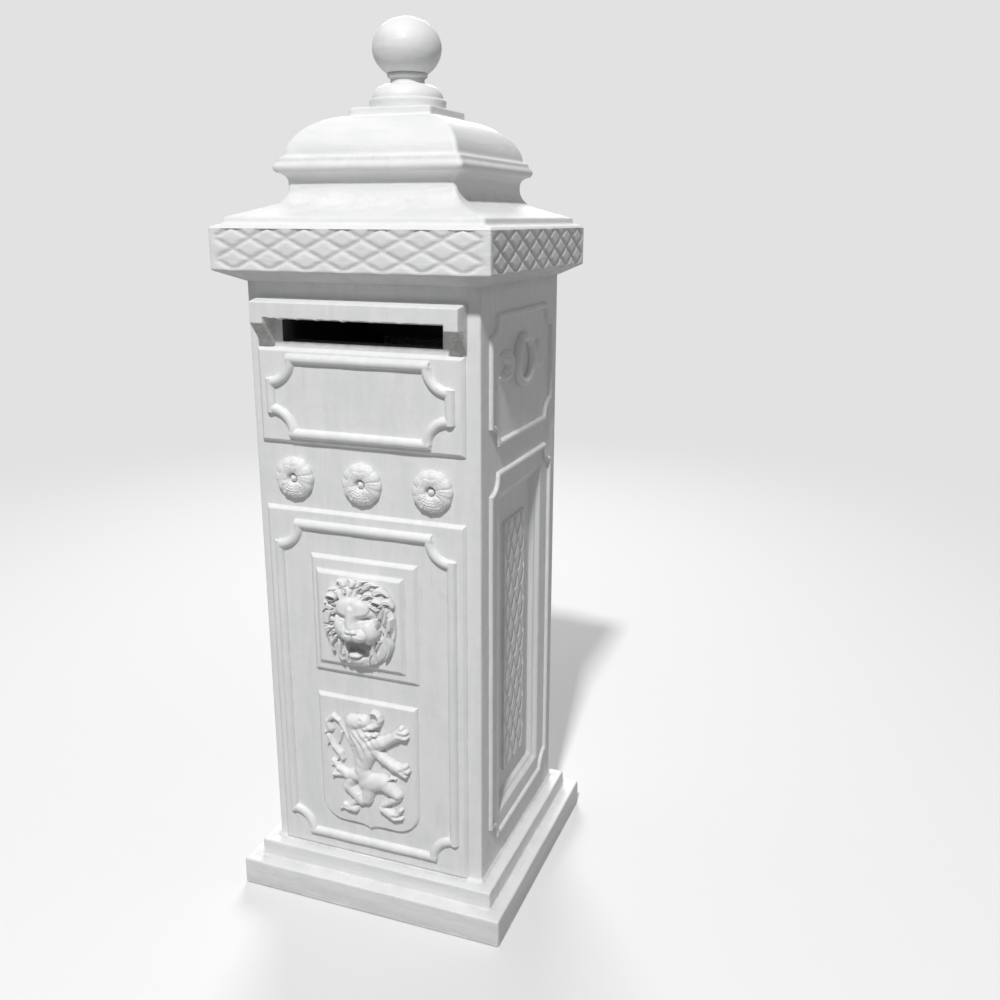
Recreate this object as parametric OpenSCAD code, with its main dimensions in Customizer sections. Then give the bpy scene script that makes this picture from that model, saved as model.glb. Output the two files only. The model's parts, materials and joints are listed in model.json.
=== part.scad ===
// Freestanding pillar mailbox: a hollow cast pillar on a stepped base, with a
// moulded cap, a ball finial, carved plaques and a hinged rear door.
// Millimetres. The origin is the centre of the base's underside, +Z is up and
// the letter slot faces -Y.

/* [Base] */
// Width of the base slab
base_w = 400; // [384:1:430]
// Depth of the base slab
base_d = 380; // [364:1:410]
// Height of the base slab
slab_h = 40; // [32:1:52]
// How far the upper step stands out from the pillar
step_reach = 20; // [14:1:24]
// Height of the upper step above the slab
step_h = 25; // [18:1:34]
// Rounding of the base's upper edges
base_round = 4.5; // [2:0.5:6]
// Height of the locating block that enters the pillar
spigot_h = 14; // [8:1:24]
// Gap for mortar between the locating block and the pillar's walls
spigot_gap = 4; // [2:0.5:8]

/* [Pillar] */
// Width of the pillar
pillar_w = 320; // [312:1:340]
// Depth of the pillar
pillar_d = 300; // [292:1:320]
// Height of the pillar's top above the ground
pillar_top = 870; // [862:1:900]
// Thickness of the cast walls
wall_t = 28; // [24:1:32]
// Flare at the foot of the pillar
foot_flare = 4; // [2:0.5:6]

/* [Letter slot] */
// Width of the slot through the wall
slot_w = 223; // [200:1:232]
// Height of the slot
slot_h = 28; // [20:1:34]
// Distance from the pillar's top down to the slot's upper edge
slot_drop = 46; // [44:1:52]
// Width of the hood over the slot
hood_w = 286; // [276:1:300]
// How far the hood stands out from the pillar
hood_reach = 26; // [18:1:32]
// Width of each hood leg
hood_leg = 21; // [16:1:24]
// Height of the hood's front above the slot's upper edge
hood_rise = 23; // [18:1:26]
// Fall of the hood's top from the wall to its front edge
hood_fall = 5; // [3:0.5:8]
// Length of the legs below the slot's upper edge, at their front
leg_drop = 5.5; // [3:0.5:8]

/* [Name plate] */
// Width of the name plate
name_w = 290; // [270:1:300]
// Height of the name plate
name_h = 125; // [110:1:132]
// Thickness of the name plate
name_t = 5.5; // [4:0.5:8]
// Gap between the slot's lower edge and the name plate
name_gap = 7; // [5:0.5:12]

/* [Rosettes] */
// Radius of a rosette
rosette_r = 28.5; // [24:0.5:32]
// Distance between neighbouring rosettes
rosette_pitch = 99; // [75:1:105]
// Distance from the name plate down to the rosettes' centres
rosette_drop = 46; // [38:1:48]
// Height of a rosette's centre
rosette_rise = 11; // [7:0.5:14]

/* [Front panel] */
// Width of the front panel
panel_w = 290; // [270:1:300]
// Height of the front panel
panel_h = 509; // [490:1:516]
// Thickness of the front panel
panel_t = 5; // [4:0.5:8]
// Distance from the base up to the front panel
panel_lift = 4; // [4:1:12]
// How far the front's plates and rosettes sit left of the middle
front_shift = 4; // [0:0.5:6]

/* [Bead mouldings] */
// Width of the half-round bead on the front
bead_w = 13; // [12:0.5:15]
// Height of the half-round bead on the front
bead_rise = 6; // [4:0.5:6]
// Distance from a plate's side edges to its bead frame
bead_inset = 12.5; // [9:0.5:16]
// Distance from the name plate's upper and lower edges to its bead frame
name_inset = 7.5; // [4:0.5:10]
// Distance from the front panel's upper and lower edges to its bead frame
panel_inset = 16; // [12:1:22]
// Radius of the hollow corners of the bead frames
bead_corner = 31; // [24:1:36]
// Width of the half-round bead on the sides
side_bead_w = 9; // [9:0.5:12]
// Height of the half-round bead on the sides
side_bead_rise = 4.5; // [3:0.5:4.5]

/* [Side panels] */
// Width of the bead frames on the sides
side_frame_w = 246; // [225:1:250]
// Height of the lower bead frame
side_frame_h = 534; // [515:1:540]
// Distance from the base up to the lower bead frame
side_frame_lift = 37; // [30:1:42]
// Distance from the upper bead frame up to the pillar's top
top_frame_drop = 34; // [28:1:60]
// Gap between the two bead frames
frame_gap = 32; // [26:1:36]
// Radius of the hollow corners on the sides
side_corner = 25; // [18:1:30]
// Distance from the bead frame's sides to the sunk field
recess_inset = 39.5; // [34:0.5:45]
// Distance from the bead frame's ends to the sunk field
recess_end = 32; // [28:1:40]
// Width of each splay round the sunk field
splay_run = 7; // [5:0.5:8]
// Width of the small ledge between the two splays
splay_ledge = 2; // [1:0.5:3]
// Depth of the sunk field
recess_depth = 12; // [8:0.5:14]
// Width of the lattice plaque in the sunk field
lattice_w = 80; // [68:1:100]
// Height of the lattice plaque
lattice_h = 376; // [340:1:400]
// Distance from the sunk field's middle down to the plaque's middle
lattice_drop = 5; // [0:0.5:12]
// Thickness of the lattice plaque
lattice_t = 4; // [3:0.5:5]
// Distance from the upper bead frame's middle up to the ornament's middle
motif_lift = 16; // [0:1:24]
// Radius of the ring in the upper side ornament
ring_r = 30; // [24:1:36]
// Radius of the ring's round section
ring_tube = 6.5; // [4:0.5:8]
// Length of the leaves beside the ring
leaf_len = 56; // [40:1:60]

/* [Diamond pattern] */
// Length of one diamond
diamond_l = 51; // [44:1:60]
// Width of one diamond
diamond_w = 25.6; // [22:0.2:30]
// Width of the grooves between the diamonds
groove_w = 6.5; // [4:0.5:8]
// Depth of the grooves
groove_depth = 2.6; // [1.5:0.1:3]

/* [Lion plaque] */
// Width of the outer plate
plate_w = 157; // [150:1:170]
// Height of the outer plate
plate_h = 169; // [160:1:180]
// Thickness of each plate
plate_t = 5; // [4:0.5:7]
// Distance from the panel's lower edge up to the outer plate
plate_lift = 280; // [270:1:290]
// Width of the inner plate
inner_w = 129; // [122:1:134]
// Height of the inner plate
inner_h = 136; // [130:1:142]
// How far the inner plate sits left of the middle
inner_shift = 8; // [0:0.5:9]
// Half width of the lion's mane
mane_r = 58; // [52:1:59]
// Height of the lion's nose above its plate
muzzle_rise = 38; // [30:1:44]

/* [Shield] */
// Width of the shield
shield_w = 152; // [144:1:164]
// Height of the shield with its point
shield_h = 204; // [200:1:212]
// Thickness of the shield
shield_t = 5; // [4:0.5:7]
// Distance from the panel's lower edge up to the shield's point
shield_lift = 43; // [40:1:48]
// How far the shield sits left of the middle
shield_shift = 5; // [0:0.5:8]
// Height of the carved lion above the shield
rampant_rise = 11; // [7:0.5:14]

/* [Cap] */
// Width of the cap, which is square
cap_w = 374; // [366:1:390]
// Rise of the splayed bed under the band
bed_rise = 14.5; // [10:0.5:20]
// Height of the diamond band
band_h = 53.5; // [50:0.5:60]
// Height of the hollow moulding between the band and the neck
cove_h = 47.5; // [44:0.5:56]
// Width of the neck
neck_w = 230; // [220:1:240]
// Distance from the cove up to the roll
roll_lift = 16.5; // [16.5:0.5:22]
// Height of the roll above the neck
roll_h = 12; // [10:0.5:16]
// Height of the stepped fillet between the roll and the dome
roll_step = 8; // [6:0.5:12]
// Height of the dome
dome_h = 49; // [44:1:60]
// Width of the square block under the finial
block_w = 114; // [108:1:130]
// Height of that block
block_h = 11; // [8:0.5:16]
// Thickness of the cap's walls
cap_wall = 28; // [24:1:34]
// Height of the locating lip that enters the pillar
lip_h = 12; // [8:1:18]
// Gap between the locating lip and the pillar's walls
lip_gap = 3; // [2:0.5:6]

/* [Finial] */
// Radius of the ball
ball_r = 44.5; // [38:0.5:50]
// Height of the slightly flattened ball
ball_h = 75; // [66:1:88]
// Radius of the finial's foot
foot_r = 50; // [44:0.5:53]
// Radius of the finial's neck
finial_neck_r = 22; // [18:0.5:24]
// Height of the foot's upright rim
foot_rim = 12; // [8:0.5:14]
// Height of the domed foot above its rim
foot_dome = 18; // [14:0.5:20]
// Height of the finial's stem below the ball's centre
stem_h = 74; // [70:0.5:80]
// Radius of the dowel that holds the finial
dowel_r = 6; // [4:0.5:8]
// Length of the dowel
dowel_l = 70; // [56:1:80]

/* [Rear door] */
// Width of the opening in the rear wall
opening_w = 240; // [226:1:250]
// Height of the opening in the rear wall
opening_h = 310; // [280:1:330]
// Distance from the base up to the opening
opening_lift = 400; // [380:1:415]
// How far the steel frame laps over the wall
frame_lap = 20; // [17:1:24]
// Gap between the opening and the frame's sleeve
sleeve_gap = 10; // [8:0.5:12]
// Thickness of the steel frame
frame_t = 2; // [1.5:0.5:3]
// Depth of the frame's sleeve in the wall
sleeve_depth = 14; // [10:0.5:16]
// Thickness of the door sheet
sheet_t = 2; // [1.5:0.5:3]
// How far the door laps over the frame
door_lap = 10; // [7:0.5:11]
// Depth of the folded rim behind the door
rim_depth = 10; // [6:0.5:10]
// Thickness of the folded rim
rim_t = 1.5; // [1:0.5:2]
// Gap between the rim and the sleeve
rim_gap = 3; // [2.5:0.5:5]
// Air between the closed door and the frame
door_gap = 0.3; // [0.2:0.1:0.6]

/* [Hinges] */
// Radius of the hinge knuckles
knuckle_r = 4.5; // [4:0.1:4.6]
// Radius of the hinge pins
pin_r = 2; // [1.5:0.1:2.5]
// Radial clearance round a pin
pin_fit = 0.06; // [0.03:0.01:0.1]
// Length of a hinge
hinge_l = 50; // [40:1:64]
// Thickness of the hinge leaves
leaf_t = 2; // [1.5:0.5:2]
// Distance from the door's ends to the hinges
hinge_inset = 44; // [36:1:60]

/* [Lock] */
// Radius of the lock's threaded body
lock_r = 9.5; // [8:0.5:10]
// Radius of the lock's flange
flange_r = 12; // [11:0.5:14]
// Length of the lock's body behind the flange
lock_l = 19; // [17:0.5:22]
// Radius of the turning plug
plug_r = 6; // [5:0.5:7]
// Radial clearance round the plug
plug_fit = 0.06; // [0.03:0.01:0.1]
// Reach of the cam from the plug's axis
cam_reach = 28; // [25:0.5:29]
// Width of the cam
cam_w = 14; // [10:0.5:16]
// Thickness of the cam
cam_t = 2.5; // [2:0.5:3]
// Distance from the door rim to the lock's axis
lock_inset = 17; // [16.5:0.5:19]

/* [Shelf] */
// Thickness of the mail shelf
shelf_t = 3; // [2:0.5:5]
// Gap round the mail shelf
shelf_gap = 1; // [0.5:0.5:3]
// Width of the cast ledges that carry the shelf
ledge_w = 12; // [8:1:16]
// Height of the ledges
ledge_h = 15; // [10:1:24]

/* [Hidden] */

$fn = 48;
eps = 0.01;
over = 1;
paint = "white";
steel = "lightgray";
metal = "silver";

base_top = slab_h + step_h;
cavity_w = pillar_w - 2 * wall_t;
cavity_d = pillar_d - 2 * wall_t;
slot_top = pillar_top - slot_drop;
slot_bottom = slot_top - slot_h;
name_top = slot_bottom - name_gap;
name_bottom = name_top - name_h;
rosette_z = name_bottom - rosette_drop;
panel_bottom = base_top + panel_lift;
plate_bottom = panel_bottom + plate_lift;
shield_bottom = panel_bottom + shield_lift;
frame_bottom = base_top + side_frame_lift;
top_frame_bottom = frame_bottom + side_frame_h + frame_gap;
recess_w = side_frame_w - 2 * recess_inset;
recess_h = side_frame_h - 2 * recess_end;
recess_middle = frame_bottom + side_frame_h / 2;
top_frame_h = pillar_top - top_frame_drop - top_frame_bottom;
motif_z = top_frame_bottom + top_frame_h / 2 + motif_lift;

band_top = bed_rise + band_h;
neck_z = band_top + cove_h;
roll_z = neck_z + roll_lift;
dome_z = roll_z + roll_h + roll_step;
cap_h = dome_z + dome_h + block_h;
cap_top = pillar_top + cap_h;
dome_half = neck_w / 2 + 3;

opening_bottom = base_top + opening_lift;
opening_top = opening_bottom + opening_h;
rear = pillar_d / 2;
frame_face = rear + frame_t;
sleeve_w = opening_w - 2 * sleeve_gap;
sleeve_bottom = opening_bottom + sleeve_gap / 2;
sleeve_h = opening_h - sleeve_gap;
clear_w = sleeve_w - 2 * frame_t;
clear_bottom = sleeve_bottom + frame_t;
clear_h = sleeve_h - 2 * frame_t;
sheet_w = clear_w + 2 * door_lap;
sheet_bottom = clear_bottom - door_lap;
sheet_h = clear_h + 2 * door_lap;
sheet_y = frame_face + door_gap;
sheet_face = sheet_y + sheet_t;
rim_w = clear_w - 2 * rim_gap;
rim_bottom = clear_bottom + rim_gap;
rim_h = clear_h - 2 * rim_gap;
hinge_x = sheet_w / 2 + knuckle_r + 0.5;
hinge_y = frame_face + knuckle_r + 0.5;
upper_hinge_z = sheet_bottom + sheet_h - hinge_inset - hinge_l;
lower_hinge_z = sheet_bottom + hinge_inset;
knuckle_gap = 0.3;
lock_x = -rim_w / 2 + lock_inset;
lock_z = sheet_bottom + sheet_h / 2;
lock_end = sheet_face - lock_l;
lock_rim_t = 3;

// A round arc as a list of points
function arc(cx, cz, r, a0, a1, n = 6) =
    [for (i = [0:n]) let (a = a0 + (a1 - a0) * i / n) [cx + r * cos(a), cz + r * sin(a)]];

// A right-hand side line completed with its mirror image
function both_sides(p) = concat(p, [for (i = [len(p) - 1:-1:0]) [-p[i][0], p[i][1]]]);

// A solid whose four upright sides follow a moulding line, mitred at the corners
module mitred(line_x, line_y, reach) {
    intersection() {
        rotate([90, 0, 0])
            linear_extrude(height = 2 * reach, center = true)
                polygon(both_sides(line_x));
        rotate([90, 0, 90])
            linear_extrude(height = 2 * reach, center = true)
                polygon(both_sides(line_y));
    }
}

// Places what stands on a local XY plane on a face of the pillar, rising outwards
module on_front(lift = 0) {
    translate([0, -pillar_d / 2 - lift, 0]) rotate([90, 0, 0]) children();
}

module on_right(lift = 0) {
    translate([pillar_w / 2 + lift, 0, 0]) rotate([90, 0, 90]) children();
}

module on_left(lift = 0) {
    mirror([1, 0, 0]) on_right(lift) children();
}

// A flat plate with splayed edges, its lower edge at y = 0 and its back at z = 0
module splayed_plate(w, h, t, splay) {
    across = [[-w / 2, 0], [w / 2, 0], [w / 2 - splay, t], [splay - w / 2, t]];
    along = [[0, 0], [h, 0], [h - splay, t], [splay, t]];
    intersection() {
        rotate([90, 0, 0]) translate([0, 0, -h]) linear_extrude(height = h) polygon(across);
        rotate([90, 0, 90]) linear_extrude(height = w, center = true) polygon(along);
    }
}

// A half-round bead frame with hollow corners, its lower edge at y = 0
module bead_frame(w, h, corner, bead, rise) {
    r = (pow(bead / 2, 2) + pow(rise, 2)) / (2 * rise);
    sink = rise - r;
    half = w / 2 - bead / 2;
    low = bead / 2;
    high = h - bead / 2;
    intersection() {
        union() {
            for (y = [low, high])
                translate([0, y, sink])
                    rotate([0, 90, 0])
                        cylinder(h = 2 * (half - corner) + bead * 0.7, r = r, center = true);
            for (x = [-half, half])
                translate([x, (low + high) / 2, sink])
                    rotate([90, 0, 0])
                        cylinder(h = high - low - 2 * corner + bead * 0.5, r = r, center = true);
            for (x = [-1, 1], y = [0, 1])
                translate([x * half, y == 0 ? low : high, sink])
                    rotate([0, 0, y == 0 ? (x < 0 ? 0 : 90) : (x < 0 ? -90 : 180)])
                        rotate_extrude(angle = 90)
                            translate([corner, 0])
                                circle(r = r);
        }
        translate([-w / 2 - bead, -bead, -over]) cube([w + 2 * bead, h + 2 * bead, rise + 2 * over]);
    }
}

// Crossed V grooves that leave a field of diamonds, cut into the plane z = 0; with
// a shift of 0.5 a diamond sits on the middle, with 0 two grooves cross there
module diamond_grooves(w, h, cell_x, cell_y, shift) {
    count = ceil(w / cell_x / 2 + h / cell_y / 2);
    for (side = [-1, 1], k = [-count:count]) {
        x0 = max(-w / 2, cell_x * (k + shift - h / cell_y / 2));
        x1 = min(w / 2, cell_x * (k + shift + h / cell_y / 2));
        if (x1 - x0 > groove_w) {
            y0 = side * cell_y * (k + shift - x0 / cell_x);
            y1 = side * cell_y * (k + shift - x1 / cell_x);
            translate([(x0 + x1) / 2, (y0 + y1) / 2, 0])
                rotate([0, 0, atan2(y1 - y0, x1 - x0)])
                    rotate([90, 0, 90])
                        linear_extrude(height = norm([x1 - x0, y1 - y0]), center = true)
                            polygon([
                                [-groove_w * 0.7, groove_depth * 0.4], [0, -groove_depth],
                                [groove_w * 0.7, groove_depth * 0.4]
                            ]);
        }
    }
}

// A closed relief from rows of points [x, y, height] with its back flat at z = 0
module relief_rows(rows) {
    nr = len(rows);
    nc = len(rows[0]);
    edge = concat(
        [for (c = [0:nc - 2]) c],
        [for (r = [0:nr - 2]) r * nc + nc - 1],
        [for (c = [nc - 1:-1:1]) (nr - 1) * nc + c],
        [for (r = [nr - 1:-1:1]) r * nc]
    );
    top = [for (row = rows) for (p = row) p];
    n = len(top);
    ne = len(edge);
    middle = (rows[0][floor(nc / 2)] + rows[nr - 1][floor(nc / 2)]) / 2;
    polyhedron(
        points = concat(
            top,
            [for (i = edge) [top[i][0], top[i][1], 0]],
            [[middle[0], middle[1], 0]]
        ),
        faces = concat(
            [for (r = [0:nr - 2]) for (c = [0:nc - 2]) let (a = r * nc + c) [a, a + nc, a + nc + 1]],
            [for (r = [0:nr - 2]) for (c = [0:nc - 2]) let (a = r * nc + c) [a, a + nc + 1, a + 1]],
            [for (i = [0:ne - 1]) [edge[i], edge[(i + 1) % ne], n + (i + 1) % ne]],
            [for (i = [0:ne - 1]) [edge[i], n + (i + 1) % ne, n + i]],
            [for (i = [0:ne - 1]) [n + i, n + (i + 1) % ne, n + ne]]
        )
    );
}

// A closed relief from rings of points round a middle point, with a flat back
module relief_rings(middle, rings) {
    nr = len(rings);
    nc = len(rings[0]);
    last = 1 + (nr - 1) * nc;
    back = 1 + nr * nc;
    polyhedron(
        points = concat(
            [middle],
            [for (ring = rings) for (p = ring) p],
            [for (p = rings[nr - 1]) [p[0], p[1], 0]],
            [[middle[0], middle[1], 0]]
        ),
        faces = concat(
            [for (c = [0:nc - 1]) [0, 1 + (c + 1) % nc, 1 + c]],
            [for (r = [0:nr - 2]) for (c = [0:nc - 1])
                let (a = 1 + r * nc, b = a + nc, d = (c + 1) % nc) [a + c, a + d, b + d]],
            [for (r = [0:nr - 2]) for (c = [0:nc - 1])
                let (a = 1 + r * nc, b = a + nc, d = (c + 1) % nc) [a + c, b + d, b + c]],
            [for (c = [0:nc - 1]) let (d = (c + 1) % nc) [last + c, last + d, back + d]],
            [for (c = [0:nc - 1]) let (d = (c + 1) % nc) [last + c, back + d, back + c]],
            [for (c = [0:nc - 1]) [back + c, back + (c + 1) % nc, back + nc]]
        )
    );
}

// Height of a rounded limb from a to b, with radii ra and rb and crown h
function limb(p, a, b, ra, rb, h) =
    let (
        ab = b - a,
        t = max(0, min(1, ((p - a) * ab) / max(ab * ab, eps))),
        d = norm(p - a - t * ab) / (ra + (rb - ra) * t)
    )
    d < 1 ? h * sqrt(1 - d * d) : 0;

// Height of an oval swelling
function boss(p, c, rx, ry, h) =
    let (q = pow((p[0] - c[0]) / rx, 2) + pow((p[1] - c[1]) / ry, 2))
    q < 1 ? h * sqrt(1 - q) : 0;

// Base
module base_plinth() {
    function side(half, pillar_half) = concat(
        [[half, 0]],
        arc(half - base_round, slab_h - base_round, base_round, 0, 90),
        [[pillar_half + step_reach, slab_h]],
        arc(pillar_half + step_reach - base_round, base_top - base_round, base_round, 0, 90)
    );
    color(paint) {
        mitred(side(base_w / 2, pillar_w / 2), side(base_d / 2, pillar_d / 2), base_w);
        translate([0, 0, base_top + spigot_h / 2 - eps])
            cube([cavity_w - 2 * spigot_gap, cavity_d - 2 * spigot_gap, spigot_h + 2 * eps], center = true);
    }
}

// Pillar
module pillar_shell() {
    function side(half) = concat(
        arc(half + foot_flare, base_top + foot_flare, foot_flare, 270, 180, 4),
        [[half, pillar_top]]
    );
    difference() {
        mitred(side(pillar_w / 2), side(pillar_d / 2), pillar_w);
        translate([0, 0, (base_top + pillar_top) / 2])
            cube([cavity_w, cavity_d, pillar_top - base_top + 2 * over], center = true);
    }
}

module slot_hood() {
    front = -hood_reach;
    lintel = 3;
    notch_h = lintel + slot_h + name_gap + over;
    leg_bottom = slot_top - leg_drop;
    hood_top = slot_top + hood_rise;
    difference() {
        translate([0, -pillar_d / 2, 0])
            rotate([90, 0, 90])
                linear_extrude(height = hood_w, center = true)
                    polygon([
                        [over, name_top], [0, name_top], [front, leg_bottom], [front, hood_top],
                        [0, hood_top + hood_fall], [over, hood_top + hood_fall]
                    ]);
        translate([0, -pillar_d / 2 - hood_reach, slot_top + lintel - notch_h])
            cube([hood_w - 2 * hood_leg, 2 * hood_reach, 2 * notch_h], center = true);
    }
}

// The sunk field, with two splays and a small ledge between them on all sides
module recess_cut() {
    function side(reach) = [
        [reach - 2 * splay_run - splay_ledge, -recess_depth],
        [reach - splay_run - splay_ledge, -recess_depth / 2],
        [reach - splay_run, -recess_depth / 2],
        [reach, 0],
        [reach, over]
    ];
    translate([0, recess_middle, 0]) mitred(side(recess_w / 2), side(recess_h / 2), recess_h);
}

module side_mouldings() {
    translate([0, frame_bottom, 0])
        bead_frame(side_frame_w, side_frame_h, side_corner, side_bead_w, side_bead_rise);
    translate([0, top_frame_bottom, 0])
        bead_frame(side_frame_w, top_frame_h, side_corner, side_bead_w, side_bead_rise);
}

module pillar() {
    color(paint) {
        difference() {
            union() {
                pillar_shell();
                slot_hood();
                on_right() side_mouldings();
                on_left() side_mouldings();
            }
            translate([-slot_w / 2, -pillar_d / 2 - over, slot_bottom])
                cube([slot_w, wall_t + 2 * over, slot_h]);
            translate([-opening_w / 2, rear - wall_t - over, opening_bottom])
                cube([opening_w, wall_t + 2 * over, opening_h]);
            on_right() recess_cut();
            on_left() recess_cut();
        }
        for (side = [-1, 1])
            translate([side * (cavity_w - ledge_w) / 2, 0, opening_bottom - shelf_t - ledge_h / 2])
                cube([ledge_w + 2 * eps, cavity_d + 2 * eps, ledge_h], center = true);
    }
}

// Front plaques
module framed_plate(w, h, t, inset) {
    splayed_plate(w, h, t, t - 1);
    translate([0, inset, t])
        bead_frame(w - 2 * bead_inset, h - 2 * inset, bead_corner, bead_w, bead_rise);
}

module name_plate() {
    color(paint)
        on_front()
            translate([-front_shift, name_bottom, 0])
                framed_plate(name_w, name_h, name_t, name_inset);
}

module front_panel() {
    color(paint)
        on_front()
            translate([-front_shift, panel_bottom, 0])
                framed_plate(panel_w, panel_h, panel_t, panel_inset);
}

module rosette(index) {
    petals = 12;
    steps = petals * 4;
    levels = [0.16, 0.3, 0.36, 0.55, 0.8, 0.94, 1];
    rise = rosette_rise;
    function height(s, a) =
        s < 0.2 ? rise : s < 0.33 ? rise * 0.86 : s < 0.4 ? rise * 0.42
        : rise * (0.3 + 0.42 * sqrt(max(0, 1 - pow((s - 0.66) / 0.42, 2))) * (0.7 + 0.3 * cos(petals * a)));
    color(paint)
        on_front()
            translate([index * rosette_pitch - front_shift, rosette_z, 0])
                relief_rings([0, 0, rise * 1.04], [
                    for (s = levels) [for (i = [0:steps - 1])
                        let (a = 360 * i / steps, r = s * rosette_r * (1 - 0.06 * s * (1 - cos(petals * a)) / 2))
                        [r * cos(a), r * sin(a), height(s, a)]]
                ]);
}

module rosette_left() {
    rosette(-1);
}

module rosette_centre() {
    rosette(0);
}

module rosette_right() {
    rosette(1);
}

// Lion plaque
module lion_plate() {
    color(paint)
        on_front(panel_t)
            translate([-front_shift, plate_bottom, 0]) {
                splayed_plate(plate_w, plate_h, plate_t, plate_t);
                translate([front_shift - inner_shift, (plate_h - inner_h) / 2 - 2, plate_t - eps])
                    splayed_plate(inner_w, inner_h, plate_t + eps, plate_t);
            }
}

// Height of the lion's face and mane over its plate, for a mane of half width 58
function lion_height(p) =
    let (
        q = [abs(p[0]), p[1]],
        dist = norm([p[0], p[1] + 5]),
        angle = atan2(p[1] + 5, p[0]),
        dome = 5 + 15 * max(0, 1 - pow(dist / 62, 2)),
        lock_in = dist > 30 ? 4.5 * cos(13 * angle + 2.4 * dist) * min(1, (dist - 30) / 8) : 0,
        lock_out = dist > 44 ? 3 * cos(19 * angle - 3 * dist) * min(1, (dist - 44) / 6) : 0,
        mane = dome + lock_in + lock_out,
        ear = boss(q, [35, 33], 12, 11, 20) - boss(q, [34, 31], 6, 6, 8),
        forehead = boss(p, [0, 24], 27, 24, 28),
        brow = limb(q, [6, 17], [24, 19], 7, 6, 31),
        cheek = boss(q, [19, -4], 16, 18, 27),
        bridge = limb(p, [0, 26], [0, -4], 9, 10, 33) + boss(p, [0, -8], 12, 18, 4),
        pad = boss(q, [8, -13], 13, 11, 37),
        jaw = limb(q, [0, -47], [9, -46], 9, 7, 26),
        chin = boss(p, [0, -53], 15, 12, 20),
        face = max(forehead, brow, cheek, bridge, pad, jaw, chin, ear),
        eye = boss(q, [18.5, 9], 7, 4.5, 7),
        mouth = boss(p, [0, -31], 15, 12, 30)
    )
    max(4, max(mane, face) - (eye > 0 ? eye * 0.8 : 0) - (mouth > 0 ? mouth * 0.55 : 0));

module lion_mask() {
    rings = 20;
    steps = 76;
    size = mane_r / 58;
    rise = muzzle_rise / 38;
    function reach(a) = 58 + 3 * sin(a) * sin(a) + 2.2 * cos(19 * a + 30);
    color(paint)
        on_front(panel_t + 2 * plate_t)
            translate([-inner_shift, plate_bottom + plate_h / 2 + 2, 0])
                relief_rings([0, 0, lion_height([0, -5]) * rise], [
                    for (k = [1:rings]) [for (i = [0:steps - 1])
                        let (
                            a = 360 * i / steps,
                            s = pow(k / rings, 0.9),
                            p = [s * reach(a) * cos(a), s * reach(a) * sin(a) - 5]
                        )
                        [p[0] * size, p[1] * size, (k == rings ? 4 : lion_height(p)) * rise]]
                ]);
}

// The carved lion: limbs as [from, to, radius from, radius to, height], in
// millimetres from the shield's middle line and from its point
rampant_limbs = [
    // Chest, belly and hips
    [[-8, 150], [-2, 126], 17, 17, 1], [[-3, 122], [-9, 100], 16, 11, 0.9], [[-9, 98], [0, 80], 11, 15, 0.95],
    [[0, 80], [24, 84], 15, 13, 1], [[2, 74], [-2, 54], 12, 9, 0.85],
    // Head, curled muzzle and lower jaw
    [[-20, 169], [-3, 173], 12, 10, 1], [[8, 188], [18, 187], 4, 4.5, 0.8], [[18, 187], [25, 177], 4.5, 4.5, 0.9],
    [[25, 177], [16, 168], 4.5, 4.5, 0.9], [[16, 168], [-2, 162], 4.5, 5, 0.85], [[-14, 152], [15, 158], 5, 4.5, 0.85],
    // Upper foreleg with its claws
    [[2, 139], [27, 147], 12, 10, 0.95], [[27, 147], [46, 159], 9, 8, 0.9], [[46, 159], [53, 167], 8, 7.5, 0.95],
    [[50, 166], [47, 174], 4, 3, 0.8], [[55, 166], [60, 172], 4, 3, 0.8], [[54, 160], [65, 160], 4.5, 3, 0.85],
    // Lower foreleg with its claws
    [[12, 132], [24, 124], 9, 8, 0.8], [[23, 124], [41, 114], 8, 9, 0.9], [[41, 114], [54, 110], 9, 8, 0.95],
    [[56, 113], [64, 115], 4.5, 3, 0.85], [[56, 107], [63, 105], 4, 3, 0.8],
    // Right hind leg
    [[24, 84], [46, 70], 13, 8, 0.95], [[45, 64], [24, 50], 6, 5, 0.7], [[22, 44], [40, 35], 6.5, 8, 0.8],
    [[40, 35], [50, 47], 6, 4, 0.75],
    // Left hind leg
    [[-26, 79], [-30, 68], 8, 9, 0.8], [[-30, 68], [-10, 50], 9, 8, 0.85], [[-18, 48], [-28, 38], 5, 5, 0.6],
    [[-37, 36], [-22, 34], 6, 6.5, 0.75],
    // Tail with its three tufts
    [[-14, 112], [-23, 135], 4, 4, 0.55], [[-23, 135], [-32, 154], 4, 4, 0.55], [[-32, 154], [-41, 168], 4, 4, 0.55],
    [[-41, 168], [-50, 173], 4, 4.5, 0.6], [[-50, 173], [-60, 164], 4.5, 4.5, 0.6], [[-60, 164], [-56, 153], 4.5, 6.5, 0.6],
    [[-59, 142], [-51, 128], 4.5, 5, 0.6], [[-51, 128], [-42, 118], 5, 6.5, 0.65], [[-42, 118], [-38, 110], 6.5, 5, 0.6],
    [[-38, 150], [-43, 134], 3, 3, 0.35], [[-53, 104], [-45, 94], 4, 5, 0.55], [[-45, 94], [-30, 86], 5.5, 8, 0.65],
    [[-54, 82], [-38, 86], 3, 6, 0.55], [[-30, 86], [-12, 88], 8, 10, 0.8]
];

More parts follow.
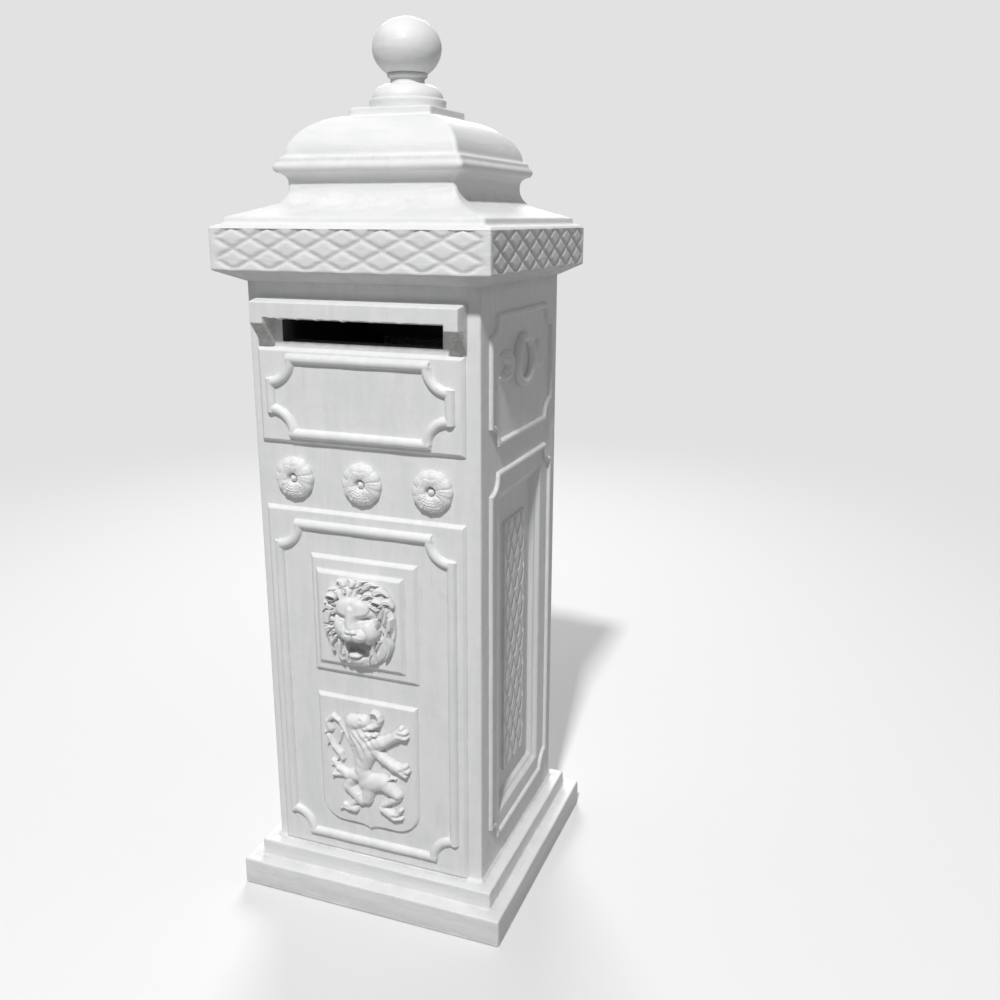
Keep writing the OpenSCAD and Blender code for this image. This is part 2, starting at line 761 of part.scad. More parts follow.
module lion_shield() {
    point_h = 11;
    turn = 30;
    columns = 32;
    half = shield_w / 2;
    size = shield_w / 152;
    function half_at(y) =
        y < point_h ? max(2.5, (half - turn) * pow(y / point_h, 2))
        : y < point_h + turn ? half - turn + sqrt(max(0, turn * turn - pow(point_h + turn - y, 2)))
        : half;
    levels = concat([0, 4, 8, 11, 13, 16, 20, 25], [for (y = [30:3.6:194]) y], [199, shield_h]);
    function carving(x, y) =
        let (p = [x / size, y])
        max([for (m = rampant_limbs) limb(p, m[0], m[1], m[2], m[3], m[4])]);
    color(paint)
        on_front(panel_t)
            translate([-shield_shift, shield_bottom, 0])
                relief_rows([
                    for (y = levels) [for (c = [0:columns])
                        let (x = half_at(y) * (2 * c / columns - 1))
                        [x, y, shield_t + rampant_rise * carving(x, y)]]
                ]);
}

// Side ornaments
module lattice_panel() {
    border = 3;
    translate([0, recess_middle - lattice_drop, -recess_depth])
        difference() {
            translate([0, -lattice_h / 2, 0]) splayed_plate(lattice_w, lattice_h, lattice_t, 1);
            translate([0, 0, lattice_t])
                diamond_grooves(lattice_w - 2 * border, lattice_h - 2 * border, diamond_w, diamond_l, 0.5);
        }
}

module lattice_panel_left() {
    color(paint) on_left() lattice_panel();
}

module lattice_panel_right() {
    color(paint) on_right() lattice_panel();
}

// A pointed leaf with a folded middle, its stalk at the origin
module leaf(length, width, rise) {
    rows = 11;
    columns = 6;
    stalk = 0.8;
    edge_t = 1.2;
    relief_rows([
        for (i = [0:rows])
            let (s = i / rows, half = stalk + width / 2 * sin(180 * pow(s, 0.8)))
            [for (c = [0:columns])
                let (u = 2 * c / columns - 1, crown = sin(180 * pow(s, 0.7)) * (1 - u * u))
                [half * u, length * s, edge_t + rise * crown * (0.75 + 0.25 * abs(u))]]
    ]);
}

// A ring with a pair of leaves on each side
module side_motif() {
    tilt = 14;
    translate([0, motif_z, 0]) {
        rotate_extrude($fn = 64)
            intersection() {
                translate([ring_r, ring_tube * 0.4]) circle(r = ring_tube);
                square([2 * ring_r, 2 * ring_tube]);
            }
        for (side = [-1, 1], turn = [-tilt, tilt])
            translate([side * (ring_r + ring_tube * 0.7), 0, 0])
                rotate([0, 0, turn - side * 90])
                    leaf(leaf_len, leaf_len * 0.36, ring_tube);
    }
}

module side_motif_left() {
    color(paint) on_left() side_motif();
}

module side_motif_right() {
    color(paint) on_right() side_motif();
}

// Cap
// The cap's moulding from the bed up, for a pillar of the given half width
function cap_line(pillar_half) =
    let (
        half = cap_w / 2,
        neck = neck_w / 2,
        cove_r = 24.5,
        slope = 20,
        cove = [neck + cove_r, neck_z]
    )
    concat(
        [[pillar_half, 0], [half, bed_rise], [half, band_top - 5.5]],
        arc(half - 5.5, band_top - 5.5, 5.5, 20, 90, 4),
        [[half - 12, band_top + 3], [half - 13, band_top + 10]],
        [for (i = [0:7]) let (a = slope + (90 - slope) * i / 7) cove - cove_r * [sin(a), cos(a)]],
        arc(neck + 12, neck_z + 4.5, 12, 180, 90),
        arc(neck + 14 - roll_h / 2, roll_z + roll_h / 2, roll_h / 2, -60, 60),
        [[neck + 9, roll_z + roll_h + 1], [neck + 9, dome_z - 3], [dome_half, dome_z]],
        [for (i = [1:9])
            let (t = 90 * i / 9)
            [
                block_w / 2 + (dome_half - block_w / 2) * pow(cos(t), 2 / 1.8),
                dome_z + dome_h * pow(sin(t), 2 / 1.8)
            ]],
        [[block_w / 2, cap_h]]
    );

module cap() {
    hollow = neck_w / 2 - cap_wall;
    hollow_line = [[hollow + 22, -over], [hollow + 22, band_top - 20], [hollow, neck_z - 12],
        [hollow, dome_z], [hollow - 25, dome_z + 14]];
    band_middle = bed_rise + band_h / 2;
    color(paint)
        translate([0, 0, pillar_top])
            difference() {
                union() {
                    mitred(cap_line(pillar_w / 2), cap_line(pillar_d / 2), cap_w);
                    translate([0, 0, -lip_h / 2 + eps])
                        cube([cavity_w - 2 * lip_gap, cavity_d - 2 * lip_gap, lip_h + 2 * eps], center = true);
                }
                translate([0, 0, -lip_h]) mitred(hollow_line, hollow_line, cap_w);
                translate([0, 0, -lip_h / 2])
                    cube([2 * (hollow + 22), 2 * (hollow + 22), lip_h + 4 * over], center = true);
                for (turn = [0:3])
                    rotate([0, 0, 90 * turn])
                        translate([0, -cap_w / 2, band_middle])
                            rotate([90, 0, 0])
                                diamond_grooves(7 * diamond_l, band_h - 2, diamond_l, diamond_w, 0);
                translate([0, 0, cap_h - dowel_l / 2]) cylinder(h = dowel_l, r = dowel_r + 0.2);
            }
}

// Finial
module finial_dowel() {
    color(metal)
        translate([0, 0, cap_top - dowel_l / 2 + 0.3])
            cylinder(h = dowel_l - 0.6, r = dowel_r);
}

module ball_finial() {
    step_in = 4;
    edge_r = 2.5;
    neck_len = 5.5;
    ring_w = 3.4;
    shoulder = finial_neck_r + 1;
    collar_r = finial_neck_r + 4.2;
    dome_foot = foot_rim + 1;
    neck_bottom = dome_foot + foot_dome + 1.5;
    neck_top = neck_bottom + neck_len;
    ball_b = ball_h / 2;
    join = asin((collar_r + 0.8) / ball_r);
    line = concat(
        [[0, 0], [foot_r - 1, 0]],
        arc(foot_r - edge_r, foot_rim - edge_r, edge_r, 0, 90, 3),
        [for (i = [0:7])
            let (t = 90 * i / 7)
            [shoulder + (foot_r - step_in - shoulder) * cos(t), dome_foot + foot_dome * sin(t)]],
        [[finial_neck_r, neck_bottom], [finial_neck_r, neck_top]],
        arc(collar_r - ring_w, neck_top + ring_w, ring_w, -70, 70, 6),
        [for (i = [0:16])
            let (a = join + (180 - join) * i / 16)
            [max(0, ball_r * sin(a)), stem_h - ball_b * cos(a)]]
    );
    color(paint)
        translate([0, 0, cap_top])
            difference() {
                rotate_extrude($fn = 64) polygon(line);
                translate([0, 0, -over]) cylinder(h = dowel_l / 2 + over, r = dowel_r + 0.2);
            }
}

// Inside
module mail_shelf() {
    color(metal)
        translate([0, 0, opening_bottom - shelf_t / 2])
            cube([cavity_w - 2 * shelf_gap, cavity_d - 2 * shelf_gap, shelf_t], center = true);
}

// Rear door
module door_frame() {
    flange_w = opening_w + 2 * frame_lap;
    flange_h = opening_h + 2 * frame_lap;
    screw_x = opening_w / 2 + frame_lap / 2;
    color(steel)
        difference() {
            union() {
                translate([-flange_w / 2, rear, opening_bottom - frame_lap])
                    cube([flange_w, frame_t, flange_h]);
                translate([-sleeve_w / 2, rear - sleeve_depth, sleeve_bottom])
                    cube([sleeve_w, sleeve_depth + eps, sleeve_h]);
            }
            translate([-clear_w / 2, rear - sleeve_depth - over, clear_bottom])
                cube([clear_w, sleeve_depth + frame_t + 2 * over, clear_h]);
            for (x = [-screw_x, screw_x], z = [opening_bottom - frame_lap / 2, opening_top + frame_lap / 2])
                translate([x, rear - over, z])
                    rotate([-90, 0, 0])
                        cylinder(h = frame_t + 2 * over, r = 2.6);
        }
}

// Domed screw heads on the frame's flange
module frame_screws() {
    head_r = 5;
    head_h = 2.6;
    screw_x = opening_w / 2 + frame_lap / 2;
    dome_r = (head_r * head_r + head_h * head_h) / (2 * head_h);
    color(metal)
        for (x = [-screw_x, screw_x], z = [opening_bottom - frame_lap / 2, opening_top + frame_lap / 2])
            translate([x, frame_face, z])
                rotate([-90, 0, 0])
                    intersection() {
                        translate([0, 0, head_h - dome_r]) sphere(r = dome_r);
                        cylinder(h = head_h + over, r = head_r + over);
                    }
}

module door_panel() {
    color(steel)
        difference() {
            union() {
                translate([-sheet_w / 2, sheet_y, sheet_bottom]) cube([sheet_w, sheet_t, sheet_h]);
                translate([-rim_w / 2, sheet_y - rim_depth, rim_bottom])
                    cube([rim_w, rim_depth + eps, rim_h]);
            }
            translate([-rim_w / 2 + rim_t, sheet_y - rim_depth - over, rim_bottom + rim_t])
                cube([rim_w - 2 * rim_t, rim_depth + over, rim_h - 2 * rim_t]);
            translate([lock_x, sheet_y - over, lock_z])
                rotate([-90, 0, 0])
                    cylinder(h = sheet_t + 2 * over, r = lock_r + 0.1);
        }
}

module knuckle(z0, z1) {
    translate([hinge_x, hinge_y, z0])
        difference() {
            cylinder(h = z1 - z0, r = knuckle_r);
            translate([0, 0, -over]) cylinder(h = z1 - z0 + 2 * over, r = pin_r + pin_fit);
        }
}

module pin_bore(z0) {
    translate([hinge_x, hinge_y, z0 - over]) cylinder(h = hinge_l + 2 * over, r = pin_r + pin_fit);
}

module frame_leaf(z0) {
    third = hinge_l / 3;
    leaf_x = hinge_x + knuckle_r + 1;
    leaf_end = opening_w / 2 + frame_lap - 2;
    color(steel)
        difference() {
            union() {
                translate([leaf_x, frame_face, z0]) cube([leaf_end - leaf_x, leaf_t, hinge_l]);
                for (z = [z0, z0 + 2 * third + knuckle_gap]) {
                    translate([hinge_x, frame_face, z])
                        cube([leaf_x - hinge_x + eps, leaf_t, third - knuckle_gap]);
                    translate([hinge_x, hinge_y, z]) cylinder(h = third - knuckle_gap, r = knuckle_r);
                }
            }
            pin_bore(z0);
        }
}

module door_leaf(z0) {
    third = hinge_l / 3;
    leaf_x = hinge_x - knuckle_r - 1;
    color(steel)
        difference() {
            union() {
                translate([leaf_x - 20, sheet_face, z0]) cube([20, leaf_t, hinge_l]);
                translate([leaf_x - eps, sheet_face, z0 + third + knuckle_gap])
                    cube([hinge_x - leaf_x, leaf_t, third - 2 * knuckle_gap]);
                translate([hinge_x, hinge_y, z0 + third + knuckle_gap])
                    cylinder(h = third - 2 * knuckle_gap, r = knuckle_r);
            }
            pin_bore(z0);
        }
}

module hinge_pin(z0) {
    color(metal) {
        translate([hinge_x, hinge_y, z0 - 1]) cylinder(h = hinge_l + 1, r = pin_r);
        translate([hinge_x, hinge_y, z0 + hinge_l]) cylinder(h = 1.5, r = pin_r + 1.3);
    }
}

module upper_frame_leaf() {
    frame_leaf(upper_hinge_z);
}

module lower_frame_leaf() {
    frame_leaf(lower_hinge_z);
}

module upper_door_leaf() {
    door_leaf(upper_hinge_z);
}

module lower_door_leaf() {
    door_leaf(lower_hinge_z);
}

module upper_hinge_pin() {
    hinge_pin(upper_hinge_z);
}

module lower_hinge_pin() {
    hinge_pin(lower_hinge_z);
}

// Lock, drawn along its axis with local +Z pointing out of the door
module on_lock(y) {
    translate([lock_x, y, lock_z]) rotate([-90, 0, 0]) children();
}

module lock_body() {
    color(metal)
        on_lock(lock_end)
            difference() {
                union() {
                    cylinder(h = lock_l + eps, r = lock_r);
                    translate([0, 0, lock_l]) cylinder(h = lock_rim_t, r = flange_r);
                }
                translate([0, 0, -over]) cylinder(h = lock_l + lock_rim_t + 2 * over, r = plug_r + plug_fit);
            }
}

module lock_nut() {
    nut_t = 5;
    color(steel)
        on_lock(sheet_y - nut_t)
            difference() {
                cylinder(h = nut_t, r = lock_r + 4.4, $fn = 6);
                translate([0, 0, -over]) cylinder(h = nut_t + 2 * over, r = lock_r + 0.05);
            }
}

module lock_plug() {
    color(metal)
        on_lock(lock_end - 0.3)
            difference() {
                cylinder(h = lock_l + lock_rim_t - 0.5, r = plug_r);
                translate([-0.8, -3.4, lock_l + lock_rim_t - 4.5]) cube([1.6, 6.8, 5]);
                translate([0, 0, -over]) cylinder(h = 9 + over, r = 2.1);
            }
}

// The cam points up in the open position and swings to the left to lock
module lock_cam() {
    color(steel)
        on_lock(lock_end - 0.3 - cam_t)
            difference() {
                union() {
                    cylinder(h = cam_t, r = cam_w / 2);
                    translate([-cam_w / 2, -cam_reach, 0]) cube([cam_w, cam_reach, cam_t]);
                }
                translate([0, 0, -over]) cylinder(h = cam_t + 2 * over, r = 2.1);
            }
}

module cam_screw() {
    color(metal)
        on_lock(lock_end - 0.3 - cam_t) {
            translate([0, 0, -2.4]) cylinder(h = 2.4, r = 4);
            translate([0, 0, -eps]) cylinder(h = cam_t + 8, r = 2.05);
        }
}

base_plinth();
pillar();
name_plate();
rosette_left();
rosette_centre();
rosette_right();
front_panel();
lion_plate();
lion_mask();
lion_shield();
side_motif_left();
side_motif_right();
lattice_panel_left();
lattice_panel_right();
cap();
finial_dowel();
ball_finial();
mail_shelf();
door_frame();
frame_screws();
door_panel();
upper_frame_leaf();
lower_frame_leaf();
upper_door_leaf();
lower_door_leaf();
upper_hinge_pin();
lower_hinge_pin();
lock_body();
lock_nut();
lock_plug();
lock_cam();
cam_screw();
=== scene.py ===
"""The looks of a freestanding pillar mailbox.

The cast pieces (base, pillar, plaques, cap and finial) are fine surfaces worked out with numpy and
stand for the CAD pieces of the same shape. The metal pieces of the rear door keep their CAD shape.

All formulas are in millimetres, in the frame of the CAD model: the origin is the centre of the
base's underside, +Z is up and the letter slot faces -Y.
"""

import json
import logging
import math
from dataclasses import dataclass
from enum import Enum
from functools import reduce

import bmesh
import bpy
import numpy as np
from bpy.types import Material, Node, NodeSocket, NodeTree
from mathutils import Matrix, Vector

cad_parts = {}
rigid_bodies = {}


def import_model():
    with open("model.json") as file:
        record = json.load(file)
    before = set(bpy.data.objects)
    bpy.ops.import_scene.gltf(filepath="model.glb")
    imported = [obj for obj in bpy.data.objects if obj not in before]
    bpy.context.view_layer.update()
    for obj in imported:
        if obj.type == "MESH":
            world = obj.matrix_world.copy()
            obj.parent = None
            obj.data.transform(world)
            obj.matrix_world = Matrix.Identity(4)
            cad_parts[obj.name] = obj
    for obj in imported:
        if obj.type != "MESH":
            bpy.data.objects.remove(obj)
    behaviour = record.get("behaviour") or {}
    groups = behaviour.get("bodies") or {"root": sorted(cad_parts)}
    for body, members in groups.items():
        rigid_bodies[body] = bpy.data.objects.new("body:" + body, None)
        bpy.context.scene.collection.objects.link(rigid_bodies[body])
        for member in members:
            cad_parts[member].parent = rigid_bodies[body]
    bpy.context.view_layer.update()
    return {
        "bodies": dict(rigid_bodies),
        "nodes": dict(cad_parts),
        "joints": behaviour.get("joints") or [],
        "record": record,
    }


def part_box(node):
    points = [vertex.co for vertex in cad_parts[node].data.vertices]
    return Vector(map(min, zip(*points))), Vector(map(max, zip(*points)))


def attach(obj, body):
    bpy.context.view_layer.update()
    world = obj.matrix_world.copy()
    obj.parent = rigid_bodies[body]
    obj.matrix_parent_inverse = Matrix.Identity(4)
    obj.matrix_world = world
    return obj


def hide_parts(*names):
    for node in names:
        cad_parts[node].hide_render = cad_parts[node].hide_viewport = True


LOG = logging.getLogger("mailbox")
MM = 0.001
CAST_BODY = "mailbox"
NO_TRIANGLES = np.zeros((0, 3), int)
Array = np.ndarray
Pair = tuple[float, float]
Triple = tuple[float, float, float]


class Side(Enum):
    """The four upright sides, each as its direction across and its direction outwards."""

    FRONT = ((1.0, 0.0), (0.0, -1.0))
    RIGHT = ((0.0, 1.0), (1.0, 0.0))
    REAR = ((-1.0, 0.0), (0.0, 1.0))
    LEFT = ((0.0, -1.0), (-1.0, 0.0))


class Stroke(Enum):
    """The way the paint brush was drawn: the stretch of its marks along x, y and z."""

    UPRIGHT = (1.0, 1.0, 0.16)
    LEVEL = (0.2, 0.2, 1.0)


# Shapes


@dataclass
class Surface:
    """A shape in millimetres: its points, its faces and the dirt and painted shade at each point from 0 to
    1.
    """

    points: Array
    quads: Array
    triangles: Array
    soil: Array

    @staticmethod
    def joined(parts: list["Surface"]) -> "Surface":
        """Puts several shapes into one.

        Args:
            parts: The shapes, in any order.

        Returns:
            One shape with all their points and faces.
        """
        firsts = np.cumsum([0] + [len(part.points) for part in parts[:-1]])
        return Surface(
            np.concatenate([part.points for part in parts]),
            np.concatenate([part.quads + first for part, first in zip(parts, firsts)]),
            np.concatenate([part.triangles + first for part, first in zip(parts, firsts)]),
            np.concatenate([part.soil for part in parts]),
        )


def unit(value: Array) -> Array:
    """Keeps values from 0 to 1."""
    return np.clip(value, 0.0, 1.0)


def hump(value: Array) -> Array:
    """A soft swelling along one way, 1 at 0: e to the power of less the squared value."""
    return np.exp(-(value**2))


def looped(points: Array, soil: Array) -> Surface:
    """A closed shape from levels of points that run round it, with both ends at the middle."""
    rows, count = points.shape[:2]
    quads = grid_quads(rows, count, closed=True)
    return Surface(points.reshape(-1, 3), quads, NO_TRIANGLES, soil.reshape(-1))


def grid_quads(rows: int, columns: int, closed: bool = False) -> Array:
    """Lists the quads of a grid of points, for columns that run right and rows that run up.

    Args:
        rows: Number of rows of points.
        columns: Number of points in a row.
        closed: Whether the last column joins the first.

    Returns:
        Four point numbers a quad, counter-clockwise seen from outside.
    """
    count = columns if closed else columns - 1
    row, column = np.meshgrid(np.arange(rows - 1), np.arange(count), indexing="ij")
    low = row * columns + column
    high = row * columns + (column + 1) % columns
    return np.stack([low, high, high + columns, low + columns], axis=-1).reshape(-1, 4)


def rim_of(rows: int, columns: int) -> Array:
    """Lists the points round the edge of a grid once, counter-clockwise seen from outside."""
    number = np.arange(rows * columns).reshape(rows, columns)
    return np.concatenate([number[0, :-1], number[:-1, -1], number[-1, :0:-1], number[:0:-1, 0]])


def graded(low: float, high: float, coarse: float, zones: list[Triple]) -> Array:
    """Spreads grid lines between two ends, closer together inside some zones.

    Args:
        low: First line.
        high: Last line.
        coarse: Distance between lines outside the zones.
        zones: Start, end and line distance of each zone; a later zone wins.

    Returns:
        The places of the lines, in rising order.
    """
    lines = np.linspace(low, high, max(2, int(round((high - low) / coarse)) + 1))
    for start, end, pitch in zones:
        inside = (lines > start - 0.4 * pitch) & (lines < end + 0.4 * pitch)
        extra = np.linspace(start, end, max(2, int(round((end - start) / pitch)) + 1))
        lines = np.sort(np.concatenate([lines[~inside], extra]))
    return np.unique(np.round(np.clip(np.concatenate([[low], lines, [high]]), low, high), 4))


def ends(low: float, high: float, reach: float, pitch: float) -> list[Triple]:
    """Asks for close grid lines over some reach at both ends of a span."""
    return [(low, low + reach, pitch), (high - reach, high, pitch)]


def mirrored(zones: list[Triple]) -> list[Triple]:
    """Adds the mirror images of zones on the other side of 0, before the zones themselves."""
    return [(-end, -start, pitch) for start, end, pitch in zones] + zones


def snapped(places: Array, kept: Array) -> Array:
    """Moves each place to the nearest kept one, so that lines in between fall together."""
    return kept[np.abs(places[:, None] - kept).argmin(axis=1)]


def soft_line(corners: list[tuple[float, ...]], pitch: float, softness: float) -> Array:
    """Turns the corner points of a moulding line into a fine line with rounded corners.

    Points are spread evenly along the straight stretches between the corners. Each one is then
    replaced by the mean of the line within the given distance on both sides of it, which cuts the
    corners and leaves straight stretches and both ends where they are.

    Args:
        corners: The corner points, with any number of coordinates.
        pitch: Distance between the new points.
        softness: Distance over which corners are rounded.

    Returns:
        The new points, one a row.
    """
    line = np.asarray(corners, dtype=float)
    length = np.concatenate([[0.0], np.cumsum(np.linalg.norm(np.diff(line, axis=0), axis=1))])
    place = np.linspace(0.0, length[-1], max(2, int(round(length[-1] / pitch)) + 1))
    reach = np.minimum(softness, np.minimum(place, length[-1] - place))
    offsets = np.linspace(-1.0, 1.0, 9)
    samples = place[:, None] + reach[:, None] * offsets[None, :]
    axes = [np.interp(samples, length, line[:, axis]).mean(axis=1) for axis in range(line.shape[1])]
    return np.stack(axes, axis=1)


def arc(centre: Pair, radius: float, start: float, end: float, steps: int = 6) -> list:
    """Points on a round arc from one angle to another, in degrees from outwards towards up."""
    angles = np.radians(np.linspace(start, end, steps + 1))
    return [(centre[0] + radius * math.cos(a), centre[1] + radius * math.sin(a)) for a in angles]


def soft_steps(distance: Array, places: list, heights: list, softness: float) -> Array:
    """A line through heights at given places, by distance, with its corners rounded by averaging."""
    offsets = np.linspace(-softness, softness, 7)
    return sum(np.interp(distance + offset, places, heights) for offset in offsets) / len(offsets)


def soft_max(first: Array, second: Array, blend: float) -> Array:
    """The larger of two heights, raised by up to a quarter of the blend where they meet."""
    gap = unit(1.0 - np.abs(first - second) / blend)
    return np.maximum(first, second) + blend * gap * gap / 4


def round_edge(distance: Array, radius: float) -> Array:
    """A quarter of an ellipse by distance from an edge, 0 at the edge and 1 from the radius on."""
    inner = 1.0 - unit(distance / radius)
    return np.sqrt(unit(1.0 - inner * inner))


def oval(x: Array, y: Array, centre: Pair, radii: Pair) -> Array:
    """A dome over an oval: the root of one less the squared distance in radii, or 0 outside."""
    squared = ((x - centre[0]) / radii[0]) ** 2 + ((y - centre[1]) / radii[1]) ** 2
    return np.sqrt(unit(1.0 - squared))


def bell(x: Array, y: Array, centre: Pair, radii: Pair) -> Array:
    """A soft swelling without an edge: e to the power of less the squared distance in radii."""
    return np.exp(-(((x - centre[0]) / radii[0]) ** 2) - ((y - centre[1]) / radii[1]) ** 2)


def along_stretch(x: Array, y: Array, start: Pair, end: Pair) -> tuple[Array, Array]:
    """Where points lie along and beside a straight stretch.

    Args:
        x: Places across.
        y: Places upwards.
        start: Start of the stretch.
        end: End of the stretch.

    Returns:
        The share of the way along, from 0 to 1, and the distance to the nearest point on it.
    """
    step_x, step_y = end[0] - start[0], end[1] - start[1]
    squared = max(step_x * step_x + step_y * step_y, 1e-9)
    share = unit(((x - start[0]) * step_x + (y - start[1]) * step_y) / squared)
    return share, np.hypot(x - start[0] - share * step_x, y - start[1] - share * step_y)


def curl(x: Array, y: Array, root: Pair, tip: Pair, bend: float, width: float) -> Array:
    """A pointed lock of hair that bends to one side.

    Its middle line is the stretch from root to tip, pushed sideways by the bend times the sine of
    half a turn over its length. Across, it is a ridged back with two fine grooves; its width grows
    quickly from the root and narrows to the tip.

    Args:
        x: Places across.
        y: Places upwards.
        root: Start of the lock.
        tip: End of the lock.
        bend: How far its middle swings to the left of the line from root to tip.
        width: Half width at its widest.

    Returns:
        The lock's height from 0 to 1.
    """
    length = math.hypot(tip[0] - root[0], tip[1] - root[1])
    way_x, way_y = (tip[0] - root[0]) / length, (tip[1] - root[1]) / length
    share = ((x - root[0]) * way_x + (y - root[1]) * way_y) / length
    inside = (share > -0.25) & (share < 1.0)
    share = unit(share)
    across = (y - root[1]) * way_x - (x - root[0]) * way_y - bend * np.sin(math.pi * share)
    opening = 0.55 + 0.45 * np.sin(math.pi * unit(share * 1.6))
    half = width * opening * (1.0 - share) ** 0.45 + 0.05
    ratio = across / half
    back = unit(1.0 - np.abs(ratio) ** 1.7)
    strands = 1.0 - 0.2 * (0.5 + 0.5 * np.cos(2.5 * math.pi * ratio)) * (np.abs(ratio) < 0.9)
    return np.where(inside, back * strands * (1.0 - 0.35 * share), 0.0)


def uneven(x: Array, y: Array, size: float) -> Array:
    """The slight waviness of a hand-finished casting: a sum of long crossed waves."""
    waves = np.sin(x / 23.0 + 1.3 * np.sin(y / 41.0)) + np.sin(y / 29.0 + 1.7 * np.sin(x / 37.0))
    return size * 0.3 * (waves + np.sin((x + y) / 13.0) * np.sin((x - y) / 17.0))


def hollows(height: Array, reach: int, scale: float) -> Array:
    """Finds the hollows of a relief, where dirt stays and colour is darkened as painted shade: how far it
    lies below its surroundings.

    The surroundings are the mean of the grid over a number of steps in both directions.

    Args:
        height: The relief's heights on its grid.
        reach: Number of grid steps that count as surroundings.
        scale: Depth that counts as full.

    Returns:
        The dirt and painted shade from 0 to 1.
    """
    mean = height
    for axis in (0, 1):
        padded = np.pad(mean, [(reach, reach) if a == axis else (0, 0) for a in (0, 1)], mode="edge")
        total = np.cumsum(np.insert(padded, 0, 0.0, axis=axis), axis=axis)
        high = np.take(total, np.arange(2 * reach + 1, total.shape[axis]), axis=axis)
        low = np.take(total, np.arange(0, total.shape[axis] - 2 * reach - 1), axis=axis)
        mean = (high - low) / (2 * reach + 1)
    return unit((mean - height) / scale)


@dataclass(frozen=True)
class Plane:
    """A face of the pillar that carries reliefs: a side and its distance from the middle."""

    side: Side
    distance: float

    def place(self, x: Array, y: Array, height: Array) -> Array:
        """Puts points of a relief into space.

        Args:
            x: Places across the face.
            y: Heights above the ground.
            height: Distances outwards from the face.

        Returns:
            The points, with x, y and z on the last axis.
        """
        across, outward = self.side.value
        out = self.distance + height
        flat = [across[axis] * x + outward[axis] * out for axis in (0, 1)]
        return np.stack([*flat, y + 0.0 * x], axis=-1)


def relief(plane: Plane, x: Array, y: Array, height: Array, soil: Array) -> Surface:
    """A closed casting with a carved face and a flat back, from a grid of heights.

    The edge of the grid is put on the back's plane, and a fan of triangles closes the back.

    Args:
        plane: The face that it sits on.
        x: Places across, on the grid.
        y: Heights above the ground, on the grid.
        height: Distances outwards, on the grid.
        soil: Dirt and painted shade, on the grid.

    Returns:
        The closed shape.
    """
    rows, columns = x.shape
    rim = rim_of(rows, columns)
    height = height.copy().reshape(-1)
    height[rim] = 0.0
    face = plane.place(x.reshape(-1), y.reshape(-1), height)
    middle = face[rim].mean(axis=0)
    triangles = np.stack([np.roll(rim, -1), rim, np.full(len(rim), rows * columns)], axis=-1)
    return Surface(
        np.concatenate([face, middle[None, :]]),
        grid_quads(rows, columns),
        triangles,
        np.concatenate([soil.reshape(-1), [0.0]]),
    )


def round_relief(
    plane: Plane, centre: Pair, x: Array, y: Array, height: Array, soil: Array
) -> Surface:
    """A closed casting from rings of points round a middle, with a flat back.

    Args:
        plane: The face that it sits on.
        centre: Place across and height above the ground of the middle.
        x: Places across from the middle, a row for each ring from inside to outside.
        y: Places upwards from the middle.
        height: Distances outwards; the first row gives the middle's and the last is put to 0.
        soil: Dirt and painted shade at each point.

    Returns:
        The closed shape.
    """
    rings, steps = x.shape
    height = height.copy()
    height[-1] = 0.0
    face = plane.place(centre[0] + x.reshape(-1), centre[1] + y.reshape(-1), height.reshape(-1))
    ends = plane.place(
        np.full(2, centre[0]), np.full(2, centre[1]), np.array([height[0].mean(), 0.0])
    )
    number = np.arange(steps)
    following = (number + 1) % steps
    last = (rings - 1) * steps
    top = np.full(steps, rings * steps)
    front = np.stack([top, number, following], axis=-1)
    back = np.stack([last + following, last + number, top + 1], axis=-1)
    return Surface(
        np.concatenate([face, ends]),
        grid_quads(rings, steps, closed=True)[:, ::-1],
        np.concatenate([front, back]),
        np.concatenate([soil.reshape(-1), [0.0, 0.0]]),
    )


